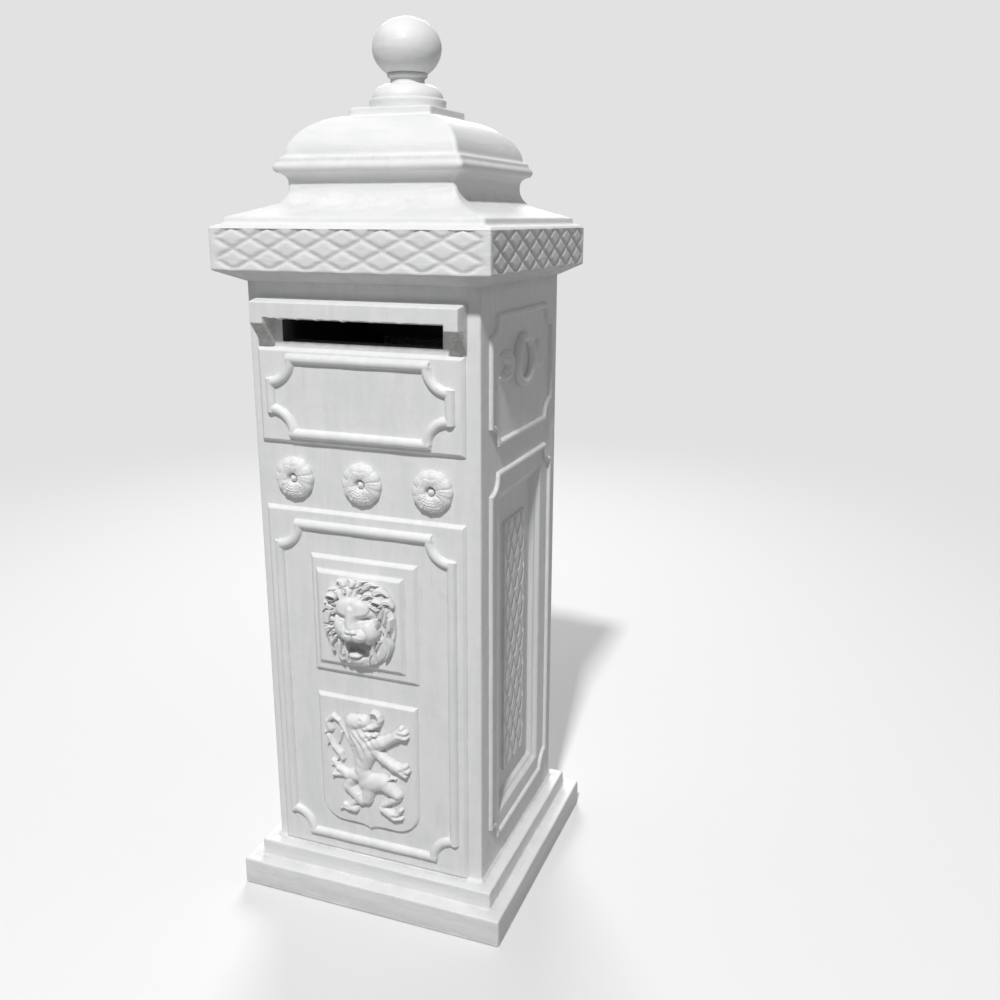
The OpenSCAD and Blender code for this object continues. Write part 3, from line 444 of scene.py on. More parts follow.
@dataclass(frozen=True)
class LoopColumns:
    """The upright lines of a shape that runs round all four sides with rounded corners.

    A line is given by its side, its share of the way from the side's middle to its corner, and its
    angle round the corner. Every level of the shape is a rectangle with rounded corners: a point is
    at share times the straight half length along the side, plus the corner radius times the sine of
    the angle, and outwards at the half width less the radius, plus the radius times the cosine.
    """

    across: Array
    outward: Array
    share: Array
    turn: Array
    number: Array

    @staticmethod
    def around(shares: list[Array], corner_steps: int = 4) -> "LoopColumns":
        """Builds the lines for four sides.

        Args:
            shares: Shares from -1 to 1 for front, right, rear and left.
            corner_steps: Number of stretches round each corner.

        Returns:
            The lines in order round the shape.
        """
        turns = np.linspace(0.0, math.pi / 2, corner_steps + 1)[1:-1]
        across, outward, share, turn, number = [], [], [], [], []
        for index, (side, own) in enumerate(zip(Side, shares)):
            count = len(own) + len(turns)
            across.append(np.tile(side.value[0], (count, 1)))
            outward.append(np.tile(side.value[1], (count, 1)))
            share.append(np.concatenate([own, np.ones(len(turns))]))
            turn.append(np.concatenate([np.zeros(len(own)), turns]))
            number.append(np.full(count, index))
        return LoopColumns(*(np.concatenate(part) for part in (across, outward, share, turn, number)))

    def along(self, half: Array, rounding: Array) -> Array:
        """Places along the sides.

        Args:
            half: Half widths in x and y, one pair a level.
            rounding: Corner radius at each level.

        Returns:
            The distance of each point from its side's middle, levels by lines.
        """
        sideways = np.abs(self.outward[:, 0])[None, :]
        reach = half[:, 1:2] * sideways + half[:, 0:1] * (1.0 - sideways)
        return self.share[None, :] * (reach - rounding[:, None])

    def points(self, half: Array, rounding: Array, z: Array, lift: Array) -> Array:
        """Puts the points of all levels into space.

        Args:
            half: Half widths in x and y, one pair a level.
            rounding: Corner radius at each level.
            z: Height of each level, or of each point.
            lift: Extra distance outwards of each point.

        Returns:
            The points, levels by lines by three.
        """
        sideways = np.abs(self.outward[:, 0])[None, :]
        distance = half[:, 0:1] * sideways + half[:, 1:2] * (1.0 - sideways)
        radius = rounding[:, None] + lift
        along = self.along(half, rounding) + radius * np.sin(self.turn)[None, :]
        out = distance - rounding[:, None] + radius * np.cos(self.turn)[None, :]
        flat = along[..., None] * self.across[None] + out[..., None] * self.outward[None]
        height = np.broadcast_to(z if z.ndim == 2 else z[:, None], along.shape)
        return np.concatenate([flat, height[..., None]], axis=-1)


@dataclass(frozen=True)
class DiamondField:
    """Rows of flat diamonds with V grooves between them.

    With u and v the two slanted coordinates, x over the diamond's length plus or less y over its
    width, grooves run where u or v is a whole number plus the shift. The depth falls in a straight
    line from the groove's middle to its edge, over which the diamond's edge is a little rounded.
    """

    length_x: float
    length_y: float
    groove: float
    depth: float
    shift: float

    def heights(self, x: Array, y: Array) -> Array:
        """Depth of the pattern below the diamonds, 0 or negative.

        Args:
            x: Places across from the pattern's middle.
            y: Places upwards from the pattern's middle.

        Returns:
            The height at each place.
        """
        spacing = 1.0 / math.hypot(1.0 / self.length_x, 1.0 / self.length_y)
        nearest = np.full(np.broadcast(x, y).shape, 1.0)
        for sign in (-1.0, 1.0):
            slanted = x / self.length_x + sign * y / self.length_y - self.shift
            nearest = np.minimum(nearest, np.abs(slanted - np.round(slanted)))
        half = self.groove / 2
        return soft_steps(nearest * spacing, [0.0, half], [-self.depth, 0.0], half * 0.3)


@dataclass(frozen=True)
class BeadFrame:
    """A half-round bead round a rectangle with hollow corners, centred on a point."""

    centre: Pair
    width: float
    height: float
    corner: float
    bead: float
    rise: float

    def heights(self, x: Array, y: Array) -> Array:
        """Height of the bead over its ground.

        The section is a round back over the distance from the bead's middle line, with a soft foot.
        The middle line is four straight bars with square ends and, at each corner, a quarter circle
        round the corner point.

        Args:
            x: Places across.
            y: Places upwards.

        Returns:
            The height, 0 away from the bead.
        """
        far_x = np.abs(x - self.centre[0])
        far_y = np.abs(y - self.centre[1])
        half_x = (self.width - self.bead) / 2
        half_y = (self.height - self.bead) / 2
        end = self.bead * 0.35
        level = np.where(far_x <= half_x - self.corner + end, np.abs(far_y - half_y), 99.0)
        upright = np.where(far_y <= half_y - self.corner + end, np.abs(far_x - half_x), 99.0)
        inside = (far_x <= half_x + 0.2) & (far_y <= half_y + 0.2)
        round_part = np.where(inside, np.abs(np.hypot(far_x - half_x, far_y - half_y) - self.corner), 99.0)
        distance = np.minimum(np.minimum(level, upright), round_part)
        radius = ((self.bead / 2) ** 2 + self.rise**2) / (2 * self.rise)
        back = np.sqrt(np.clip(radius**2 - distance**2, 0.0, None)) - (radius - self.rise)
        back = back - np.clip(distance - radius, 0.0, 60.0)
        foot = 0.7
        tail = foot**2 / 4 / (np.abs(back) + 1.0) * (distance > radius)
        return (back + np.sqrt(back**2 + foot**2)) / 2 - tail

    def zones(self, upright: bool, pitch: float) -> list[Triple]:
        """Where grid lines have to be close for this frame.

        Args:
            upright: Whether the lines lie at heights instead of places across.
            pitch: Distance between the close lines.

        Returns:
            Start, end and distance of lines for the two ends of the frame.
        """
        middle = self.centre[1] if upright else self.centre[0]
        half = (self.height if upright else self.width) / 2
        near = half - self.bead - self.corner
        return [(middle - half - 1.5, middle - near, pitch), (middle + near, middle + half + 1.5, pitch)]


# Pieces


def add_piece(
    name: str,
    surface: Surface,
    material: Material,
    replaces: tuple[str, ...],
    sharp: float = 50.0,
) -> None:
    """Makes a mesh object of a shape, ties it to the mailbox's body and hides the CAD pieces that it stands
    for.

    Points in the same place are merged, which closes poles and seams.

    Args:
        name: Name of the object.
        surface: The shape, in millimetres.
        material: Its finish.
        replaces: The CAD nodes that it stands for.
        sharp: Angle in degrees above which an edge is shown sharp.
    """
    mesh = bpy.data.meshes.new(name)
    quads, triangles = surface.quads, surface.triangles
    corners = np.concatenate([quads.reshape(-1), triangles.reshape(-1)]).astype(np.int32)
    sizes = np.concatenate([np.full(len(quads), 4), np.full(len(triangles), 3)])
    starts = np.concatenate([[0], np.cumsum(sizes)[:-1]]).astype(np.int32)
    mesh.vertices.add(len(surface.points))
    mesh.vertices.foreach_set("co", (surface.points * MM).astype(np.float32).reshape(-1))
    mesh.loops.add(len(corners))
    mesh.loops.foreach_set("vertex_index", corners)
    mesh.polygons.add(len(starts))
    mesh.polygons.foreach_set("loop_start", starts)
    mesh.update(calc_edges=True)
    soil = mesh.attributes.new("soil", "FLOAT", "POINT")
    soil.data.foreach_set("value", unit(surface.soil).astype(np.float32))
    work = bmesh.new()
    work.from_mesh(mesh)
    bmesh.ops.remove_doubles(work, verts=work.verts, dist=2e-6)
    work.to_mesh(mesh)
    work.free()
    mesh.validate()
    mesh.shade_smooth()
    mesh.set_sharp_from_angle(angle=math.radians(sharp))
    mesh.materials.append(material)
    piece = bpy.data.objects.new(name, mesh)
    bpy.context.scene.collection.objects.link(piece)
    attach(piece, CAST_BODY)
    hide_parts(*replaces)
    LOG.info("%s: %d faces", name, len(mesh.polygons))


def node_box(node: str) -> tuple[Array, Array]:
    """The lowest and highest corner of a CAD node, in millimetres."""
    low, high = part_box(node)
    return np.array(low) / MM, np.array(high) / MM


@dataclass
class StepBase:
    """The two-step base with its rounded edges."""

    paint: Material
    slab_height: float = 40.0
    top: float = 65.0
    step_reach: float = 20.0
    pillar_half: Pair = (160.0, 150.0)
    spigot: float = 14.0
    spigot_inset: float = 32.0

    def build(self) -> None:
        """Carries the step line round all four sides."""
        half_x, half_y = node_box("base_plinth")[1][:2]
        step_x, step_y = (side + self.step_reach for side in self.pillar_half)
        inner_x, inner_y = (side - self.spigot_inset for side in self.pillar_half)
        outer = soft_line(
            [
                (half_x - 6, half_y - 6, 0.0),
                (half_x, half_y, 0.0),
                (half_x, half_y, self.slab_height),
                (step_x, step_y, self.slab_height),
                (step_x, step_y, self.top),
                (inner_x + 6, inner_y + 6, self.top),
            ],
            0.9,
            3.2,
        )
        hidden = [
            (inner_x, inner_y, self.top),
            (inner_x, inner_y, self.top + self.spigot),
            (0.0, 0.0, self.top + self.spigot),
        ]
        line = np.concatenate([[(0.0, 0.0, 0.0)], outer, hidden])
        rounding = np.minimum(4.0, line[:, :2].min(axis=1))
        shares = np.linspace(-1.0, 1.0, 41)
        columns = LoopColumns.around([shares] * 4, 6)
        along = columns.along(line[:, :2], rounding)
        wave = uneven(along + 97.0 * columns.number, line[:, 2:3] * 2.0, 0.5) - 0.45
        visible = (line[:, 2] > 3.0) & (line[:, 0] > inner_x + 8)
        points = columns.points(line[:, :2], rounding, line[:, 2], np.where(visible[:, None], wave, 0.0))
        ledge = unit(1.0 - np.abs(line[:, 2] - self.slab_height) / 6.0)
        inward = unit(1.0 - np.abs(line[:, 0] - step_x) / 14.0)
        splash = unit(1.0 - line[:, 2] / 22.0) * 0.7
        foot = unit(1.0 - np.abs(line[:, 0] - self.pillar_half[0] - 5.0) / 9.0)
        soil = np.maximum(np.maximum(ledge * inward, splash), foot * (line[:, 2] > self.top - 4))
        soil = np.repeat(0.5 * soil, len(columns.share))
        add_piece("base_steps", looped(points, soil), self.paint, ("base_plinth",))


@dataclass
class PillarCasting:
    """The hollow pillar with its slot hood, bead frames and sunk side fields."""

    paint: Material
    half: Pair = (160.0, 150.0)
    foot: float = 65.0
    flare: float = 4.0
    wall: float = 28.0
    corner: float = 3.0
    slot_half: float = 111.5
    slot: Pair = (796.0, 824.0)
    door_half: float = 120.0
    door: Pair = (465.0, 775.0)
    hood_half: float = 143.0
    notch_half: float = 122.0
    notch_top: float = 827.0
    hood_line: tuple = ((789.0, 0.0), (820.5, 26.0), (847.0, 26.0), (852.0, 0.0))
    ledge: Triple = (12.0, 447.0, 462.0)
    lower_frame: BeadFrame = BeadFrame((0.0, 369.0), 246.0, 534.0, 25.0, 9.0, 4.5)
    upper_frame: BeadFrame = BeadFrame((0.0, 752.0), 246.0, 168.0, 25.0, 9.0, 4.5)
    recess: Pair = (83.5, 235.0)
    splays: tuple = ((0.0, 0.0), (7.0, -6.0), (9.0, -6.0), (16.0, -12.0))
    paint_drips: tuple = (
        # Place across and length
        (-112.0, 1.4), (-101.0, 2.6), (-84.0, 1.2), (-77.0, 2.0), (-58.0, 0.9), (-49.0, 2.2), (-31.0, 1.5),
        (-12.0, 2.4), (4.0, 1.1), (27.0, 1.9), (39.0, 1.3), (66.0, 2.1), (93.0, 1.0),
    )

    def side_heights(self, y: Array, z: Array) -> Array:
        """Relief of a side: both bead frames, less the sunk field with its two splays.

        Args:
            y: Places across the side.
            z: Heights above the ground.

        Returns:
            The height over the side's plane.
        """
        beads = np.maximum(self.lower_frame.heights(y, z), self.upper_frame.heights(y, z))
        above = self.recess[1] - np.abs(z - self.lower_frame.centre[1])
        return beads + soft_steps(np.minimum(self.recess[0] - np.abs(y), above), *zip(*self.splays), 0.8)

    def hood_heights(self, x: Array, z: Array) -> Array:
        """Relief of the front: the hood's line by height, inside its width and outside its notch.

        Args:
            x: Places across the front.
            z: Heights above the ground.

        Returns:
            The height over the front's plane.
        """
        width = round_edge(self.hood_half - np.abs(x), 1.6)
        beside = round_edge(np.abs(x) - self.notch_half, 1.6)
        above = round_edge(z - self.notch_top, 1.6)
        return soft_steps(z, *zip(*self.hood_line), 0.9) * width * np.maximum(beside, above)

    def columns(self) -> LoopColumns:
        """Upright lines, close together at the hood, the slot, the bead frames and the splays."""
        reach_x, reach_y = (half - self.corner for half in self.half)
        cheeks = [(108.0, 115.0, 1.75), (self.notch_half - 0.5, 124.5, 0.5), (140.5, 143.5, 0.5)]
        slot = (self.slot_half, self.slot_half, 1.0)
        splay = (self.recess[0] - 17.5, self.recess[0] + 1.5, 1.2)
        front = graded(-reach_x, reach_x, 4.0, mirrored([*cheeks, slot]))
        right = graded(-reach_y, reach_y, 10.0, self.upper_frame.zones(False, 1.3) + mirrored([splay]))
        rear = graded(-reach_x, reach_x, 30.0, [(-self.door_half, self.door_half, 240.0)])
        return LoopColumns.around([front / reach_x, right / reach_y, rear / reach_x, right / reach_y], 5)

    def levels(self) -> Array:
        """Heights of the grid's rows, close together where the outer wall has edges."""
        middle, reach = self.lower_frame.centre[1], self.recess[1]
        zones = [(self.foot, self.foot + self.flare + 1.0, 1.0)]
        zones += self.lower_frame.zones(True, 1.3) + self.upper_frame.zones(True, 1.3)
        zones += [(middle + a, middle + b, 1.2) for a, b, _ in mirrored([(reach - 17.5, reach + 1.5, 1.2)])]
        # Foot, notch and roof of the slot, edge of the notch, and top of the hood
        zones += [(787.0, 794.0, 1.4), (795.0, 798.0, 1.0), (818.0, 824.0, 1.0), (826.5, 829.5, 0.5)]
        zones += [(845.0, 853.0, 0.6)]
        levels = graded(self.foot, node_box("pillar")[1][2], 10.0, zones)
        for line in (*self.slot, *self.door):
            levels[np.abs(levels - line).argmin()] = line
        return np.unique(levels)

    def build(self) -> None:
        """Makes outer and inner wall on one set of lines and joins them at the ends and openings."""
        columns, levels = self.columns(), self.levels()
        reach = np.where(columns.number % 2 == 0, self.half[0], self.half[1]) - self.corner
        along = columns.share * reach
        z = np.broadcast_to(levels[:, None], (len(levels), len(along)))
        on_front, on_sides = columns.number == 0, columns.number % 2 == 1
        straight = columns.turn == 0.0
        lift = np.where(on_sides, self.side_heights(along, z), 0.0)
        lift = np.where(on_front, self.hood_heights(along, z), lift) * straight
        edge = hump((z - self.notch_top - 0.6) / 1.2) * (np.abs(along) < self.notch_half)
        sag = sum(length * hump((along - place) / 2.6) for place, length in self.paint_drips)
        out = soft_steps(levels, [self.foot, self.foot + self.flare], [self.flare, 0.0], 0.8)
        outer = columns.points(
            np.array(self.half) + out[:, None],
            np.full(len(levels), self.corner),
            z - np.where(on_front, sag * edge, 0.0),
            lift + uneven(along, z, 0.25) * straight,
        )
        inner = self.inner_wall(columns, levels, along)
        walls = self.joined_walls(columns, levels, along, outer, inner, self.soil(on_front, along, z, lift))
        width, low, high = self.ledge
        inner_x, inner_y = (half - self.wall for half in self.half)
        size, away = (width, 2 * inner_y, high - low), inner_x - width / 2
        ledges = [box_surface((x, 0.0, (low + high) / 2), size) for x in (-away, away)]
        add_piece("pillar_casting", Surface.joined([walls, *ledges]), self.paint, ("pillar",), sharp=42.0)

    def inner_wall(self, columns: LoopColumns, levels: Array, along: Array) -> Array:
        """Points of the inner wall, on the lines of the outer one but drawn together to few places.

        Args:
            columns: The upright lines.
            levels: Heights of the grid's rows.
            along: Places of the lines across their sides.

        Returns:
            The points, levels by lines by three.
        """
        inner_x, inner_y = (half - self.wall for half in self.half)
        facing = columns.number % 2 == 0
        limit, distance = np.where(facing, inner_x, inner_y), np.where(facing, inner_y, inner_x)
        kept = np.array([self.slot_half, self.door_half, inner_x, inner_y])
        drawn = snapped(along, np.concatenate([-kept, np.linspace(-60.0, 60.0, 3), kept]))
        place = np.where(np.abs(along) < limit, drawn, np.clip(along, -limit, limit))
        place = np.where(columns.turn > 0.0, limit, place)
        flat = place[:, None] * columns.across + distance[:, None] * columns.outward
        kept = np.concatenate([np.linspace(levels[0], levels[-1], 12), self.slot, self.door])
        height = np.broadcast_to(snapped(levels, kept)[:, None, None], (len(levels), len(flat), 1))
        return np.concatenate([np.broadcast_to(flat, (len(levels), *flat.shape)), height], axis=-1)

    def soil(self, on_front: Array, along: Array, z: Array, lift: Array) -> Array:
        """Dirt and painted shade on the outer wall: painted shade, partly dirt, in hollows; painted shade in
        the notch under the hood and under the cap; dirt at the foot and on the hood's cheeks.

        Args:
            on_front: Which lines belong to the front.
            along: Places across.
            z: Heights.
            lift: Relief.

        Returns:
            The dirt and painted shade from 0 to 1.
        """
        across, hood_foot, top = np.abs(along), self.hood_line[0][0], z[-1, 0]
        notch = on_front & (across < self.notch_half + 1) & (z > hood_foot - 1) & (z < self.notch_top + 1)
        cheek = on_front & (across > self.notch_half) & (np.abs(z - hood_foot - 14.5) < 17.5) & (lift > 0.5)
        foot = unit(1.0 - (z - self.foot) / 8.0) * 0.6
        crown = unit(1.0 - (top - z) / 8.0) * 0.4
        # Painted shade, partly dirt, in hollows; painted shade in the notch and under the cap; dirt at the
        # foot and on the cheeks
        return np.maximum.reduce([hollows(lift, 2, 3.0) * 0.6, foot, crown, notch * 0.35, cheek * 1.0])

    def joined_walls(
        self, columns: LoopColumns, levels: Array, along: Array, outer: Array, inner: Array, soil: Array
    ) -> Surface:
        """Joins outer and inner wall, with the letter slot and the door opening left free.

        Args:
            columns: The upright lines.
            levels: Heights of the grid's rows.
            along: Places of the lines across their sides.
            outer: Points of the outer wall.
            inner: Points of the inner wall, on the same lines.
            soil: Dirt and painted shade on the outer wall.

        Returns:
            The closed walls.
        """
        rows, count = outer.shape[:2]
        size = rows * count
        number = np.arange(size).reshape(rows, count)
        keep = np.ones((rows - 1, count), dtype=bool)
        tunnels = []
        for side, reach, span in ((0, self.slot_half, self.slot), (2, self.door_half, self.door)):
            own = np.flatnonzero((columns.number == side) & (columns.turn == 0.0))
            first, last = (own[np.abs(along[own] - place).argmin()] for place in (-reach, reach))
            low, high = (int(np.abs(levels - height).argmin()) for height in span)
            keep[low:high, first:last] = False
            bottom, roof = number[low, first : last + 1], number[high, first : last + 1]
            left, right = number[low : high + 1, first], number[low : high + 1, last]
            for line in (bottom, roof[::-1], left[::-1], right):
                tunnels.append(np.stack([line[:-1], line[1:], line[1:] + size, line[:-1] + size], axis=-1))
        quads = grid_quads(rows, count, closed=True)[keep.reshape(-1)]
        start = np.arange(count)
        following = (start + 1) % count
        base = np.stack([following, start, start + size, following + size], axis=-1)
        crown = base[:, ::-1] + (rows - 1) * count
        return Surface(
            np.concatenate([outer.reshape(-1, 3), inner.reshape(-1, 3)]),
            np.concatenate([quads, quads[:, ::-1] + size, base, crown, *tunnels]),
            NO_TRIANGLES,
            # Painted shade: the inner wall is darkened as if unlit
            np.concatenate([soil.reshape(-1), np.full(size, 0.3)]),
        )


def box_surface(centre: Triple, size: Triple) -> Surface:
    """A plain closed block from its middle and its width, depth and height."""
    signs = np.array([[x, y, z] for z in (-0.5, 0.5) for y in (-0.5, 0.5) for x in (-0.5, 0.5)])
    quads = np.array([[0, 2, 3, 1], [4, 5, 7, 6], [0, 1, 5, 4], [2, 6, 7, 3], [0, 4, 6, 2], [1, 3, 7, 5]])
    return Surface(np.array(centre) + signs * np.array(size), quads, NO_TRIANGLES, np.zeros(8))


@dataclass
class FramedPlate:
    """A raised plate with a half-round bead frame with hollow corners."""

    paint: Material
    node: str
    name: str
    thickness: float
    inset_x: float
    inset_y: float
    sink: float = 0.0
    pitch: float = 1.0
    splay: float = 4.5
    corner: float = 31.0
    bead: float = 13.0
    rise: float = 6.0

    def build(self, plane: Plane) -> None:
        """Makes the plate in its node's place.

        Args:
            plane: The pillar's front.
        """
        low, high = node_box(self.node)
        width, height = high[0] - low[0], high[2] - low[2]
        middle = ((low[0] + high[0]) / 2, (low[2] + high[2]) / 2)
        low[2] -= self.sink
        reach = self.splay + 1.5
        frame = BeadFrame(
            middle, width - 2 * self.inset_x, height - 2 * self.inset_y, self.corner, self.bead, self.rise
        )
        lines = []
        for axis in (0, 2):
            zones = frame.zones(axis == 2, self.pitch) + ends(low[axis], high[axis], reach, 0.6)
            lines.append(graded(low[axis], high[axis], 9.0, zones))
        x, z = np.meshgrid(*lines)
        inwards = np.minimum(width / 2 - np.abs(x - middle[0]), np.minimum(high[2] - z, z - low[2]))
        bead = frame.heights(x, z) * (1.0 + 0.05 * np.sin(x / 11.0 + z / 17.0))
        foot = self.thickness - self.splay
        relief_height = soft_steps(inwards, [0.0, 0.1, self.splay], [foot, foot, self.thickness], 0.9) + bead
        relief_height += uneven(x, z, 0.35) * unit(inwards / 8.0)
        # Painted shade, partly dirt, at the bead's foot, in hollows and along the plate's edge against the
        # wall
        soil = unit(1.0 - np.abs(bead - 0.5) / 0.5) * 0.4 + hollows(relief_height, 2, 4.0) * 0.3
        edge_dirt_and_shade = unit(1.0 - inwards / 1.2) * 0.5
        surface = relief(plane, x, z, relief_height, np.maximum(soil, edge_dirt_and_shade))
        add_piece(self.name, surface, self.paint, (self.node,))


@dataclass
class Rosette:
    """A round flower boss: rings of petals round a button."""

    paint: Material
    node: str
    petals: int = 12
    turn: float = 11.4
    rings: int = 54
    steps: int = 264

    def heights(self, share: Array, angle: Array) -> Array:
        """Height of the flower, 1 at its highest.

        A thick ring, round in section, falls to the rim and to a hollow round a small button. It is
        cut into two rows of petals: grooves between the outer ones, deeper towards the rim, and
        grooves between the inner ones, which lie between the outer ones. Worn lumps cover it.

        Args:
            share: Distance from the middle as a share of the radius.
            angle: Angle round the flower.

        Returns:
            The height.
        """
        ring = np.sqrt(unit(1.0 - ((share - 0.53) / 0.5) ** 2))
        bent = angle + 0.25 * share
        worn = 0.55 + 0.45 * np.sin(2.0 * angle + 1.3) * np.sin(3.0 * angle)
        outer = (1.0 - np.abs(np.cos(self.petals * bent / 2 + 0.5 * np.sin(2.0 * angle))) ** 0.5) * worn
        inner = (1.0 - np.abs(np.sin(self.petals * bent / 3 + 0.4 * np.sin(angle))) ** 0.5) * (1.2 - worn)
        border = 0.66 + 0.05 * np.cos(self.petals * bent / 2)
        cut = 0.17 * outer * unit((share - 0.5) * 4.0)
        cut += 0.13 * inner * unit((0.62 - share) * 6.0)
        cut += 0.06 * hump((share - border) / 0.05) * worn
        below = 0.4 + 0.6 * unit(0.5 - np.sin(angle - self.turn))
        coarse = np.sin(23.0 * share + 5.0 * np.sin(3.0 * angle)) * np.sin(13.0 * angle + 31.0 * share)
        fine = np.sin(41.0 * share + 7.0 * np.cos(5.0 * angle)) * np.cos(23.0 * angle)
        lumps = below * (0.05 * coarse + 0.03 * fine)
        hollow = unit((share - 0.19) / 0.1)
        button = 0.78 * np.sqrt(unit(1.0 - (share / 0.17) ** 2)) ** 0.7
        return np.maximum((0.3 + 0.7 * hollow) * (ring - cut + lumps), button)

    def build(self, plane: Plane) -> None:
        """Makes the rosette in its node's place.

        Args:
            plane: The pillar's front.
        """
        low, high = node_box(self.node)
        radius = (high[2] - low[2]) / 2
        rise = high[1] - low[1]
        angle, share = np.meshgrid(
            np.linspace(0.0, math.tau, self.steps, endpoint=False), np.linspace(0.02, 1.0, self.rings)
        )
        notch = 1.0 - np.abs(np.cos(self.petals * angle / 2))
        scallop = 1.0 - 0.035 * notch * unit(share * 1.5 - 0.5)
        height = self.heights(share, angle + self.turn) * (rise - 0.5)
        height = height * round_edge((1.0 - share) * radius, 1.6)
        x, y = share * radius * scallop * np.cos(angle), share * radius * scallop * np.sin(angle)
        centre = ((low[0] + high[0]) / 2, (low[2] + high[2]) / 2)
        # Painted shade, partly dirt, in the petals' hollows
        soil = hollows(height, 3, 2.2) * 0.9
        surface = round_relief(plane, centre, x, y, height, soil)
        add_piece(self.node + "_flower", surface, self.paint, (self.node,), sharp=70.0)


@dataclass
class LionPlaque:
    """The stepped double plate with the lion's head."""

    paint: Material
    splay: float = 5.0
    inner_width: float = 129.0
    inner_height: float = 136.0
    inner_shift: float = 8.0
    inner_drop: float = 2.0
    muzzle: tuple = (
        # Muzzle pads, jowls and nose: rise, middle, half sizes, roundness and fillet
        (31.5, (6.5, -8.5), (14.0, 11.5), 0.45, 3.0),
        (21.0, (16.5, -13.0), (8.0, 13.0), 0.7, 4.0),
        (33.0, (3.5, -2.0), (8.0, 5.5), 0.35, 2.0),
    )
    rings: int = 122
    steps: int = 440
    locks: tuple = (
        # Tufts round the outside, from the top right to the left: root, tip, bend, half width, height
        ((44, 24), (55, 0), -5, 9, 15), ((36, 36), (55, 27), 6, 9, 16), ((24, 44), (48, 44), 7, 9, 16),
        ((12, 50), (34, 57), 6, 9, 16), ((2, 47), (20, 63), 6, 9, 16), ((-6, 48), (-14, 64), -5, 8.5, 15),
        ((-14, 46), (-33, 57), -6, 9, 16), ((-22, 36), (-46, 42), -6, 9, 16),
        ((-28, 28), (-50, 28), 6, 9, 16),
        ((-31, 18), (-51, 10), -6, 9, 15), ((-32, 4), (-50, -8), 5, 9, 15),
        ((-32, -8), (-46, -26), -6, 9, 15),
        ((-30, -20), (-36, -45), -6, 9, 16), ((-24, -30), (-22, -57), -5, 9, 15),
        ((50, 6), (48, -34), -5, 10, 16),
        # Big leaf-shaped locks on the right, drawn downwards
        ((44, -10), (38, -48), 6, 8, 15), ((30, -26), (16, -58), -4, 8, 14),
        ((40, 10), (28, -54), -9, 10.5, 18),
        ((40, 26), (43, -8), -5, 9, 19), ((34, 8), (34, -22), -4, 7.5, 21),
        # Inner row over the brow and beside the cheeks
        ((26, 32), (44, 33), -5, 7, 20), ((10, 37), (32, 42), 6, 8, 21), ((1, 38), (12, 54), 5, 8.5, 21),
        ((-6, 37), (-20, 51), -6, 8, 21), ((-18, 35), (-36, 42), -5, 7, 19),
        ((-27, 18), (-41, 18), 4, 7, 19),
        ((-28, 4), (-41, -4), -4, 7, 18), ((-27, -10), (-36, -26), -4, 7, 18),
        ((-14, -44), (-12, -60), -3, 7.5, 13),
    )

    def build(self, plane: Plane) -> None:
        """Makes the double plate and the head.

        Args:
            plane: The front panel's face.
        """
        low, high = node_box("lion_plate")
        middle = (low[2] + high[2]) / 2
        inner_low = middle - self.inner_height / 2 - self.inner_drop
        inner_high = inner_low + self.inner_height
        left, right = -self.inner_shift - self.inner_width / 2, -self.inner_shift + self.inner_width / 2
        across = ends(left - 1, right + 1, 8.0, 0.7) + ends(low[0], high[0], 7.0, 0.7)
        upwards = ends(inner_low - 1, inner_high + 1, 8.0, 0.7) + ends(low[2], high[2], 7.0, 0.7)
        x, z = np.meshgrid(graded(low[0], high[0], 8.0, across), graded(low[2], high[2], 8.0, upwards))
        outer = np.minimum(np.minimum(x - low[0], high[0] - x), np.minimum(z - low[2], high[2] - z))
        inner = np.minimum(np.minimum(x - left, right - x), np.minimum(z - inner_low, inner_high - z))
        height = sum(soft_steps(part, [0.0, self.splay], [0.0, self.splay], 0.9) for part in (outer, inner))
        # Painted shade, partly dirt, along the steps' edges and feet
        soil = unit(1.0 - np.abs(inner) / 1.5) * 0.4
        soil = np.maximum(soil, unit(1.0 - outer / 1.2) * 0.4)
        surface = relief(plane, x, z, height, soil)
        add_piece("lion_plate_steps", surface, self.paint, ("lion_plate",), sharp=60.0)
        self.build_head(Plane(plane.side, plane.distance + 2 * self.splay))

    def build_head(self, plane: Plane) -> None:
        """Makes the lion's head as rings that follow its outline.

        Args:
            plane: The inner plate's face.
        """
        low, high = node_box("lion_mask")
        centre = (-self.inner_shift, (low[2] + high[2]) / 2 + 1.0)
        angle = np.linspace(0.0, math.tau, self.steps, endpoint=False)
        radius = np.linspace(1.0, 66.0, 261)[:, None]
        trial = self.heights(radius * np.cos(angle), radius * np.sin(angle))
        reach = np.where(trial > 3.0, radius, 0.0).max(axis=0)
        reach = sum(np.roll(reach, shift) for shift in range(-5, 6)) / 11 + 0.4
        share = np.linspace(0.012, 1.0, self.rings)[:, None]
        x, y = share * reach * np.cos(angle), share * reach * np.sin(angle)
        height = np.maximum(self.heights(x, y), 0.5)
        height = height * round_edge((1.0 - share) * reach, 1.4)
        limit = 0.998 * np.minimum(high[2] - centre[1], centre[1] - low[2])
        y = np.clip(y, -limit, limit)
        # Painted shadow in the open mouth, as cast by the muzzle, and painted shade, partly dirt, in the
        # mane's hollows
        soil = np.maximum(hollows(height, 5, 3.6), self.mouth(x, y) * (height < 10.0))
        surface = round_relief(plane, centre, x, y, height, soil)
        add_piece("lion_head", surface, self.paint, ("lion_mask",), sharp=75.0)

